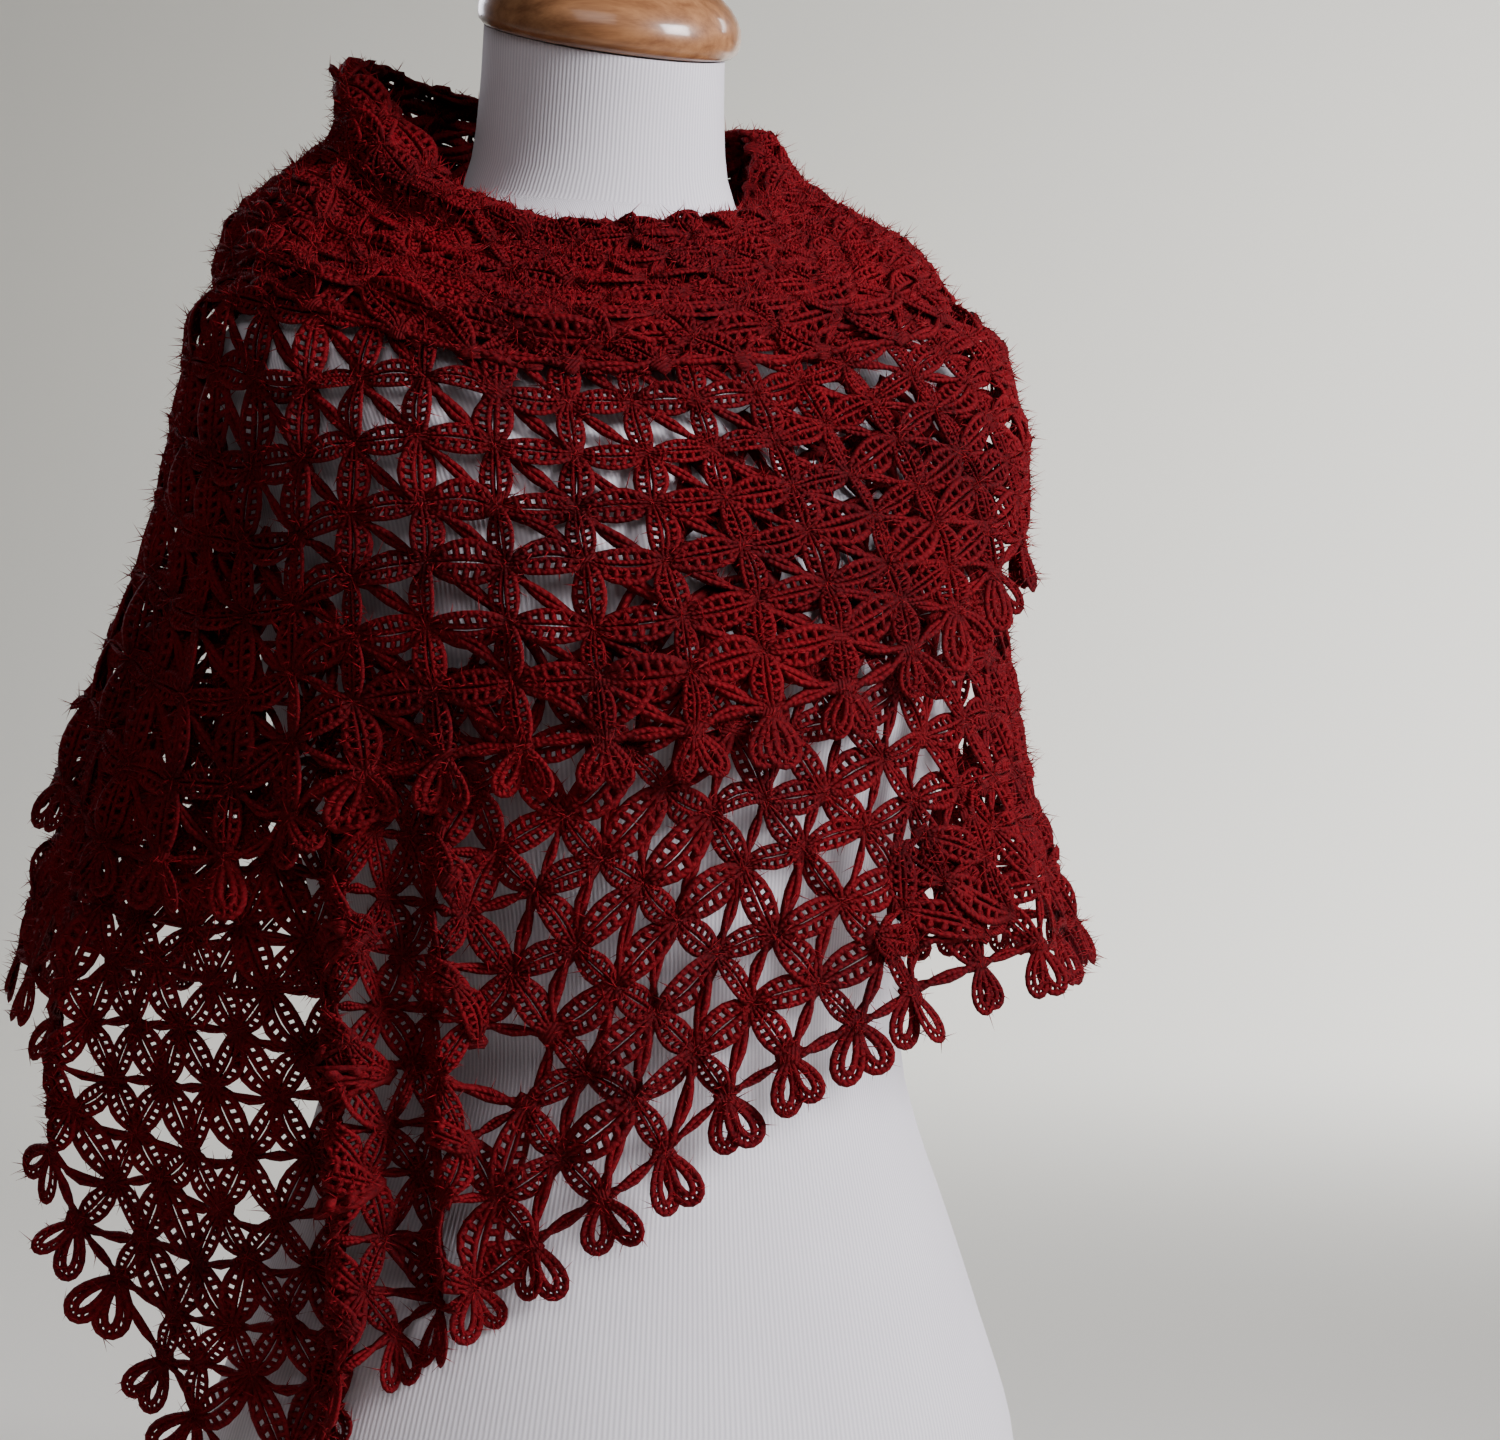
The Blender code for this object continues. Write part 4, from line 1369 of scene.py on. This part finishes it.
# %% Yarn and nap finishes
TWIST = 2.4  # millimetres of yarn to a turn of its plies, drawn coarser than real so that it shows
PATCH_SCALE = 22.0  # patches of about 45 mm
YARN_FLECK_SCALE = 700.0  # flecks of about 1.4 mm
PATCH_SHARE = 0.7
TWIST_SHARE = 0.3  # relief of the twist against the flecks
SHEEN_RED = "#C8141E"


def make_yarn_finish(name, dark, light, sheen):
    """Deep red mohair whose colour varies by chance from dark to the colour of its brushed hairs, with
    painted shade near the knots.
    """
    finish, shader = new_finish(
        name,
        Roughness=0.78,
        Sheen_Weight=sheen,
        Sheen_Roughness=0.45,
        Sheen_Tint=linear(SHEEN_RED),
        Specular_IOR_Level=0.1,
    )
    place = add_node(finish, "ShaderNodeTexCoord").outputs["Object"]
    patches = add_node(finish, "ShaderNodeTexNoise", {"Vector": place, "Scale": PATCH_SCALE, "Detail": 2.0})
    flecks = add_node(
        finish, "ShaderNodeTexNoise", {"Vector": place, "Scale": YARN_FLECK_SCALE, "Detail": 3.0}
    ).outputs["Fac"]
    blend = add_node(
        finish,
        "ShaderNodeMath",
        {0: patches.outputs["Fac"], 1: PATCH_SHARE, 2: flecks},
        operation="MULTIPLY_ADD",
    )
    share = add_node(
        finish, "ShaderNodeMapRange", {"Value": blend.outputs[0], "From Min": 0.55, "From Max": 1.2}
    )
    yarn_map = add_node(finish, "ShaderNodeUVMap", uv_map="yarn")
    along = add_node(finish, "ShaderNodeSeparateXYZ", {"Vector": yarn_map.outputs["UV"]})
    run = add_node(
        finish,
        "ShaderNodeMath",
        {0: along.outputs["X"], 1: 1 / TWIST, 2: along.outputs["Y"]},
        operation="MULTIPLY_ADD",
    )
    turn = add_node(finish, "ShaderNodeMath", {0: run.outputs[0], 1: 2 * math.pi}, operation="MULTIPLY")
    ridge = add_node(finish, "ShaderNodeMath", {0: turn.outputs[0]}, operation="SINE")
    relief = add_node(
        finish, "ShaderNodeMath", {0: ridge.outputs[0], 1: TWIST_SHARE, 2: flecks}, operation="MULTIPLY_ADD"
    )
    # painted shade: where the yarn meets the knots its colour is darkened, down to 0.45 of itself
    gathered = add_node(finish, "ShaderNodeAttribute", attribute_name="gather")
    depth = add_node(
        finish, "ShaderNodeMapRange", {"Value": gathered.outputs["Fac"], "To Min": 1.0, "To Max": 0.45}
    )
    red = add_node(
        finish,
        "ShaderNodeMix",
        {"Factor": share.outputs[0], 6: linear(dark), 7: linear(light)},
        data_type="RGBA",
    )
    colour = add_node(
        finish,
        "ShaderNodeMix",
        {"Factor": 1.0, 6: red.outputs[2], 7: depth.outputs[0]},
        data_type="RGBA",
        blend_type="MULTIPLY",
    )
    dress(finish, shader, colour.outputs[2], relief.outputs[0], strength=0.9, distance=0.0006)
    return finish


mohair = make_yarn_finish("deep_red_mohair_yarn", "#3A0209", "#7C0814", 0.1)
nap_finish, _ = new_finish(
    "brushed_mohair_hairs",
    Roughness=0.6,
    Base_Color=linear("#800A16"),
    Sheen_Weight=0.1,
    Sheen_Tint=linear(SHEEN_RED),
    Specular_IOR_Level=0.15,
)
print("finishes:", mohair.name, "and", nap_finish.name)

# %% [markdown]
# ## Winding the net on the sheets
#
# The upper turn and the cowl go all the way round, so their nets close on themselves. Each arm goes to
# the stretch that its middle lies in, so the stretches stay separate pieces, as their walls are.

# %% Stretches
LOWER_STRETCHES = (("left_cascade", -80), ("lower_front", -12), ("back_sheet", 100))
UPPER_STRETCHES = (("chest_wrap", -98), ("back_wrap", 96))
COWL_STRETCHES = (("cowl_front", -74), ("collar_back", 98))
COVERED_FROM = 22  # height over the upper turn's hem from which the lower sheet is hidden
nets = {}


def stretch_at(stretches, bearing):
    """The name of the stretch that a bearing lies in."""
    first = stretches[0][1]
    turned = (bearing - first) % 360 + first
    return [name for name, start in stretches if start <= turned][-1]


def is_covered(bearing, height):
    """Whether a spot of the lower sheet lies well under the upper turn."""
    return height > round_row(UPPER_SHEET, bearing)[-1] + COVERED_FROM


def add_layer(stretches, sheet, spots, petals, chains, loops=(), unders=(), raised=0.0, plain=()):
    """Sorts the arms, knots and loops of a layer into the stretches of its sheet."""
    bearings, _ = spots
    layers = {}
    for name, _ in stretches:
        layer = {"sheet": sheet, "spots": spots, "unders": unders, "raised": raised}
        layers[name] = layer | {kind: [] for kind in ("petals", "plain", "chains", "knots", "loops")}
        nets.setdefault(name, []).append(layers[name])
    for kind, pairs in (("petals", petals), ("plain", plain), ("chains", chains)):
        for a, b in pairs:
            middle = bearings[a] + wrapped(bearings[b] - bearings[a]) / 2
            layers[stretch_at(stretches, middle)][kind].append((a, b))
    for k, bearing in enumerate(bearings):
        layers[stretch_at(stretches, bearing)]["knots"].append(k)
    for k in loops:
        layers[stretch_at(stretches, bearings[k])]["loops"].append(k)


# %% Upper turn and cowl
NET_DROP = 240.0  # rough length down a sheet, which turns small moves into shares
UPPER_ROWS = 10
UPPER_SHIFT = 0.1
UPPER_MOVES = 1.3  # how far its knots move by chance
COWL_FLOWERS = 26
COWL_ROWS = 8
COWL_SHIFT = 0.5
COWL_MOVES = 2.2
ROLL_SHIFT = 0.3
ROLL_MOVES = 3.0
ROLL_RAISED = -3.2


def closed_sheet_net(
    stretches, sheet, point_at, flowers, rows, shift, arms, moves, unders=(), raised=0.0, hidden=False
):
    """Winds a net that closes on itself. It has hem loops if it is told what they lie on."""
    column_bearing = even_columns(point_at, stretches[0][1], stretches[0][1] + 360, flowers)
    spots, petals, chains = slanted_net(flowers, rows, shift, arms, closed=True)
    columns = np.array([column % flowers for column, _ in spots])
    levels = np.array([row for _, row in spots])
    bearings, downs = jittered(column_bearing(columns), levels / rows, NET_DROP, moves)
    downs = np.where(levels == rows, 1.0, np.where(levels == 0, 0.0, downs))
    loops = [k for k, row in enumerate(levels) if row == rows] if unders else []
    plain = []
    if hidden:
        petals, chains, plain = [], [], petals
    add_layer(stretches, sheet, (bearings, downs), petals, chains, loops, unders, raised, plain)


upper_flowers = round(hem_run(upper_at, np.linspace(0, 360, 361))[-1] / FLOWER)
closed_sheet_net(
    UPPER_STRETCHES, upper, upper_at, upper_flowers, UPPER_ROWS, UPPER_SHIFT,
    {"row": "petal", "down": "petal", "ahead": "chain"}, UPPER_MOVES, [on_form, (lower["tree"], ON_SHEET)],
)
closed_sheet_net(
    COWL_STRETCHES, cowl, cowl_at, COWL_FLOWERS, COWL_ROWS, COWL_SHIFT,
    {"row": "petal", "down": "petal", "back": "chain"}, COWL_MOVES,
)
# the roll is cloth turned under, so a second layer lies just behind the first
closed_sheet_net(
    COWL_STRETCHES, cowl, cowl_at, COWL_FLOWERS - 3, COWL_ROWS - 1, ROLL_SHIFT,
    {"row": "petal", "down": "petal", "ahead": "petal"}, ROLL_MOVES, raised=ROLL_RAISED, hidden=True,
)
print("flowers round the upper turn:", upper_flowers, "and round the cowl:", COWL_FLOWERS)

# %% [markdown]
# ## The lower sheet
#
# Its front and back hang with their rows along the hem, which climbs to the right. At the left the cloth
# falls in a steep point with level rows, and the hem cuts across them. There the knots are laid in
# level rows, the hem gets its own knots, and a triangulation says which of them are neighbours.

# %% Heights of the lower sheet
FRONT_START, BACK_END = -12.0, 280.0
SLOPE_STEP = 4  # degrees to each side
SLOPE_RADIUS = 170


def hem_height(bearing):
    """The height of the lower sheet's hem."""
    return lower_edges(bearing)[1]


def top_height(bearing):
    """The height of the lower sheet's top edge."""
    return lower_edges(bearing)[0]


def hem_slope(bearing):
    """Rise of the hem over its run."""
    rise = hem_height(bearing + SLOPE_STEP) - hem_height(bearing - SLOPE_STEP)
    return rise / (math.radians(2 * SLOPE_STEP) * SLOPE_RADIUS)


def share_down(bearing, height):
    """Where a height lies, from 0 at the top edge to 1 at the hem."""
    top, hem = lower_edges(bearing)
    return (top - height) / (top - hem)


print("slope of the hem in front:", round(hem_slope(0), 2))

# %% Rows along the hem
FRONT_FLOWER = 33.0
FRONT_ROWS = 10
FRONT_DROP = 23.5  # between two rows, square to them
FRONT_SHIFT = 0.6
UNDER_TOP = 2  # least depth of a knot under the sheet's top edge

front_flowers = round(hem_run(lower_point, np.linspace(FRONT_START, BACK_END, 400))[-1] / FRONT_FLOWER)
front_bearing = even_columns(lower_point, FRONT_START, BACK_END, front_flowers)
spots, petals, chains = slanted_net(
    front_flowers, FRONT_ROWS, FRONT_SHIFT, {"row": "petal", "down": "petal", "back": "chain"}, closed=False
)
front_spots, front_index = [], {}
for k, (column, row) in enumerate(spots):
    bearing = float(front_bearing(column))
    row_drop = FRONT_DROP * math.hypot(1, min(abs(hem_slope(bearing)), 1.0))
    height = hem_height(bearing) + (FRONT_ROWS - row) * row_drop
    if height <= top_height(bearing) - UNDER_TOP:
        front_index[k] = len(front_spots)
        front_spots.append((bearing, height, row))
petals = [(front_index[a], front_index[b]) for a, b in petals if a in front_index and b in front_index]
chains = [(front_index[a], front_index[b]) for a, b in chains if a in front_index and b in front_index]
hem_knots = [k for k, (_, _, row) in enumerate(front_spots) if row == FRONT_ROWS]
print("front and back:", len(front_spots), "knots")

# %% Length round the left panel
PANEL_START = BACK_END - 360
PANEL_LEVEL = 0.8  # share down at which the length round the panel is taken
PANEL_RADIUS = 190  # for spots a little outside the panel
PANEL_READINGS = 500


def run_along(points):
    """The length along a line of points, up to each of them."""
    return np.concatenate([[0], np.cumsum(np.linalg.norm(np.diff(points, axis=0), axis=1))])


# the panel's folds count in the length round it
panel_bearings = np.linspace(PANEL_START, FRONT_START, PANEL_READINGS)
panel_ring, _ = read_sheet(lower, panel_bearings, np.full(PANEL_READINGS, PANEL_LEVEL))
panel_run = run_along(panel_ring[:, :2]) / MM


def round_panel(bearing):
    """The length round the panel up to a bearing, which may lie a little outside it."""
    inside = float(np.interp(bearing, panel_bearings, panel_run))
    return inside + math.radians(bearing - min(max(bearing, PANEL_START), FRONT_START)) * PANEL_RADIUS


hem_line = np.array([(round_panel(b), hem_height(b)) for b in panel_bearings])
hem_length = run_along(hem_line)
print("panel:", round(panel_run[-1]), "mm round, its hem", round(hem_length[-1]), "mm long")

# %% Knots of the left panel
PANEL_HEM_FLOWER = 31.0
PANEL_PITCH = 27.0
PANEL_DROP = 23.5
PANEL_FOOT = 110  # height of the lowest row
PANEL_ROWS = 30
PANEL_COLUMNS = range(-4, 16)
PANEL_TILT = 0.1  # how steeply the rows sink towards the front
ABOVE_HEM = 5  # least height of an inner knot over the hem
FROM_HEM = 14.5  # and its least distance from the hem
FROM_FRONT = 17  # and from the knots beside the panel
BORDER = 12  # degrees beside the panel whose knots it joins

panel_flowers = round(hem_length[-1] / PANEL_HEM_FLOWER)
panel_hem = []
for k in range(panel_flowers):
    bearing = float(np.interp(hem_length[-1] * (k + 0.5) / panel_flowers, hem_length, panel_bearings))
    panel_hem.append((bearing, hem_height(bearing)))

border = []
for k, (bearing, height, _) in enumerate(front_spots):
    if bearing < FRONT_START + BORDER or bearing > BACK_END - BORDER:
        border.append((k, wrapped(bearing), height))

panel_inner = []
for row in range(PANEL_ROWS):
    for column in PANEL_COLUMNS:
        across = (column + 0.5 * (row % 2)) * PANEL_PITCH
        height = PANEL_FOOT + PANEL_DROP * row - PANEL_TILT * across
        # a column past either end of the panel gets a bearing that the next line leaves out
        bearing = float(np.interp(across, panel_run, panel_bearings, left=-200, right=200))
        if not PANEL_START < bearing < FRONT_START or height > top_height(bearing) - UNDER_TOP:
            continue
        to_hem = np.linalg.norm(hem_line - np.array((across, height)), axis=1).min()
        if height < hem_height(bearing) + ABOVE_HEM or to_hem < FROM_HEM:
            continue
        beside = [math.hypot(round_panel(b) - across, h - height) for _, b, h in border]
        if beside and min(beside) < FROM_FRONT:
            continue
        panel_inner.append((bearing, height))
print("panel:", len(panel_hem), "knots on its hem and", len(panel_inner), "inside")

# %% Neighbours in the left panel
LONGEST_ARM = 40
LONGEST_HEM_ARM = 46
BELOW_HEM = 4  # how far under the hem the middle of an arm may lie
LEVEL = 0.5  # an arm is level, and so a chain, where it rises less than this share of its run

panel = panel_hem + panel_inner
flat_points = [Vector((round_panel(b), h)) for b, h in panel]
flat_points += [Vector((round_panel(b), h)) for _, b, h in border]
_, pairs, *_ = delaunay_2d_cdt(flat_points, [], [], 0, 0.001)
start = len(front_spots)
number = {k: start + k for k in range(len(panel))}
number.update({len(panel) + k: index for k, (index, _, _) in enumerate(border)})
for a, b in pairs:
    if a >= len(panel) and b >= len(panel):
        continue
    run = flat_points[b] - flat_points[a]
    middle = (flat_points[a] + flat_points[b]) / 2
    bearing = float(np.interp(middle.x, panel_run, panel_bearings))
    on_hem = a < len(panel_hem) and b < len(panel_hem)
    longest = LONGEST_HEM_ARM if on_hem else LONGEST_ARM
    if run.length > longest or middle.y < hem_height(bearing) - BELOW_HEM:
        continue
    is_chain = on_hem or abs(run.y) < LEVEL * abs(run.x)
    (chains if is_chain else petals).append((number[a], number[b]))
hem_knots += [start + k for k in range(len(panel_hem))]
print("lower sheet:", len(petals), "petals and", len(chains), "chains")

# %% The whole lower sheet
LOWER_DROP = 260.0
LOWER_MOVES = 1.2

all_spots = [(b, h) for b, h, _ in front_spots] + panel
covered = [is_covered(b, h) for b, h in all_spots]
plain = [(a, b) for a, b in petals if covered[a] and covered[b]]
petals = [(a, b) for a, b in petals if not (covered[a] and covered[b])]
bearings = np.array([b for b, _ in all_spots])
downs = np.array([share_down(b, h) for b, h in all_spots])
bearings, moved = jittered(bearings, downs, LOWER_DROP, LOWER_MOVES)
downs = np.where(np.isin(np.arange(len(moved)), hem_knots), 1.0, moved)
add_layer(LOWER_STRETCHES, lower, (bearings, downs), petals, chains, hem_knots, [on_form], plain=plain)
print("lower sheet:", len(plain), "petals hidden under the upper turn")

# %% Strips folded back
# Where the lower sheet is folded back on itself, two layers show
# first bearing, last bearing, top and bottom above the hem
FOLDED_BACK = ((-40, -27, 240, 16), (-23, -14.5, 215, 10), (40, 66, 62, 14))
STRIP_PITCH = 7.0  # degrees
STRIP_DROP = 22
STRIP_SHIFT = 0.4
STRIP_MOVES = 3.0
STRIP_RAISED = 3.4

for first, last, high, low in FOLDED_BACK:
    columns = max(1, round((last - first) / STRIP_PITCH))
    rows = round((high - low) / STRIP_DROP)
    spots, petals, chains = slanted_net(
        columns, rows, STRIP_SHIFT, {"row": "chain", "down": "petal", "ahead": "petal"}, closed=False
    )
    bearings = np.array([first + (last - first) * column / columns for column, _ in spots])
    above = np.array([high + (low - high) * row / rows for _, row in spots])
    downs = np.array([share_down(b, hem_height(b) + up) for b, up in zip(bearings, above)])
    bearings, downs = jittered(bearings, downs, LOWER_DROP, STRIP_MOVES)
    add_layer(LOWER_STRETCHES, lower, (bearings, downs), petals, chains, raised=STRIP_RAISED)
print("folded strips:", len(FOLDED_BACK))

# %% [markdown]
# ## Joining the yarn
#
# Thousands of arms would be slow as objects, so the copies of a motif are worked out as arrays and
# joined into one mesh for each stretch. Lace is gathered where it is wound, so the flat size of a
# stretch comes from its count of flowers.

# %% Copies for one layer
# kind of arm, its motif, how far its width and its bow vary by chance, and how far its middle rises
ARMS = (
    ("petals", petal, 0.12, 1.1, 0.5),
    ("plain", plain_petal, 0.15, 1.5, 0.5),
    ("chains", chain, 0.06, 1.8, -0.2),
)
KNOT_RAISED = 0.6  # a knot lies lower than the arms of a raised layer


def layer_groups(layer):
    """The copies of every motif in a layer, fitted to its sheet."""
    sheet, raised = layer["sheet"], layer["raised"]
    bearings, downs = layer["spots"]
    groups = []
    for kind, motif, *varied in ARMS:
        if layer[kind]:
            groups.append((motif, between_knots(motif, sheet, layer["spots"], layer[kind], *varied, raised)))
    if layer["knots"]:
        at = np.array(layer["knots"])
        groups.append((knot, on_knots(knot, sheet, (bearings[at], downs[at]), raised * KNOT_RAISED)))
    if layer["loops"]:
        at = np.array(layer["loops"])
        groups.append((hem_loop, hanging_loops(sheet, (bearings[at], downs[at]), layer["unders"])))
    return groups


# %% Net pieces
FLAT_FLOWER = 0.033 * 0.027  # square metres that a flower takes where the lace lies flat
# name: length of the stretch when it lies flat, in metres, and what it rests on
STRETCHES = {
    "left_cascade": (0.44, ["dress_form_cover"]),
    "lower_front": (0.30, ["dress_form_cover"]),
    "back_sheet": (0.30, ["dress_form_cover"]),
    "chest_wrap": (0.28, ["dress_form_cover", "lower_front_net"]),
    "back_wrap": (0.27, ["dress_form_cover", "back_sheet_net"]),
    "cowl_front": (0.36, ["chest_wrap_net"]),
    "collar_back": (0.36, ["back_wrap_net"]),
}
flat_sizes, net_pieces = {}, {}
for name, layers in nets.items():
    data = joined_mesh(name + "_net", [group for layer in layers for group in layer_groups(layer)])
    net_pieces[name] = add_piece(name + "_net", data, mohair, "yarn", name)
    flowers = sum(len(layer["knots"]) for layer in layers)
    length, _ = STRETCHES[name]
    flat_sizes[name] = (round(flowers * FLAT_FLOWER / length, 2), length)
    print(name, triangle_count(data), "triangles,", flowers, "flowers, flat", flat_sizes[name], "m")

# %% [markdown]
# ## The nap
#
# Brushed hairs stand out of the yarn and blur its outline. Each is one thin closed needle, and they are set
# on points of the yarn picked by chance, on the side that faces out.

# %% Nap
HAIRS = 58000
HAIR_WIDTH = 0.55  # at its root, drawn coarser than a real hair, so that it shows
HAIR_LENGTH = 5.0
HAIR_VARIETY = 0.4  # how far the lengths' logarithms spread
HAIR_LIMITS = (1.5, 9.0)
HAIR_SPREAD = 0.9  # how far hairs lean from square to the yarn
HAIR_SUNK = 0.3


def hair_motif():
    """A closed needle one millimetre long along Z, with three corners at its root and one at its tip."""
    mesh, _ = new_motif()
    radius = HAIR_WIDTH / math.sqrt(3)
    root = bmesh.ops.create_circle(mesh, cap_ends=True, segments=3, radius=radius)["verts"]
    tip = mesh.verts.new((0, 0, 1))
    for k in range(3):
        mesh.faces.new((root[k], root[(k + 1) % 3], tip))
    return motif_arrays(mesh)


def nap_mesh(name, source, count):
    """Hairs on a net, pointing away from its yarn at random slants."""
    places = np.empty(len(source.vertices) * 3, np.float32)
    outs = np.empty_like(places)
    source.vertices.foreach_get("co", places)
    source.vertex_normals.foreach_get("vector", outs)
    places, outs = places.reshape(-1, 3), outs.reshape(-1, 3)
    away = unit((places - np.array(NECK_AXIS)) * (1, 1, 0))
    # yarn that faces inwards or straight down doesn't show
    shown = np.flatnonzero((outs * away).sum(axis=1) + 0.5 * outs[:, 2] > -0.1)
    chosen = chance.choice(shown, count)
    places, outs = places[chosen], outs[chosen]
    runs = unit(outs + chance.normal(0, HAIR_SPREAD, (count, 3)))
    sides = unit(np.cross(runs, chance.normal(0, 1, (count, 3))))
    others = np.cross(runs, sides)
    lengths = np.clip(chance.lognormal(math.log(HAIR_LENGTH), HAIR_VARIETY, count), *HAIR_LIMITS)
    flat = hair["points"]
    copies = places[:, None] - outs[:, None] * (HAIR_SUNK * MM) + MM * (
        sides[:, None] * flat[:, 0][None, :, None]
        + others[:, None] * flat[:, 1][None, :, None]
        + runs[:, None] * (flat[:, 2][None, :, None] * lengths[:, None, None])
    )
    return joined_mesh(name, [(hair, copies)])


hair = hair_motif()
net_faces = sum(len(piece.data.polygons) for piece in net_pieces.values())
for name, piece in net_pieces.items():
    data = nap_mesh(name + "_nap", piece.data, int(HAIRS * len(piece.data.polygons) / net_faces))
    add_piece(name + "_nap", data, nap_finish, "yarn")

# %% [markdown]
# ## The nets
#
# The script ends by printing how many nets it made.

print("sheets:", len(net_pieces))
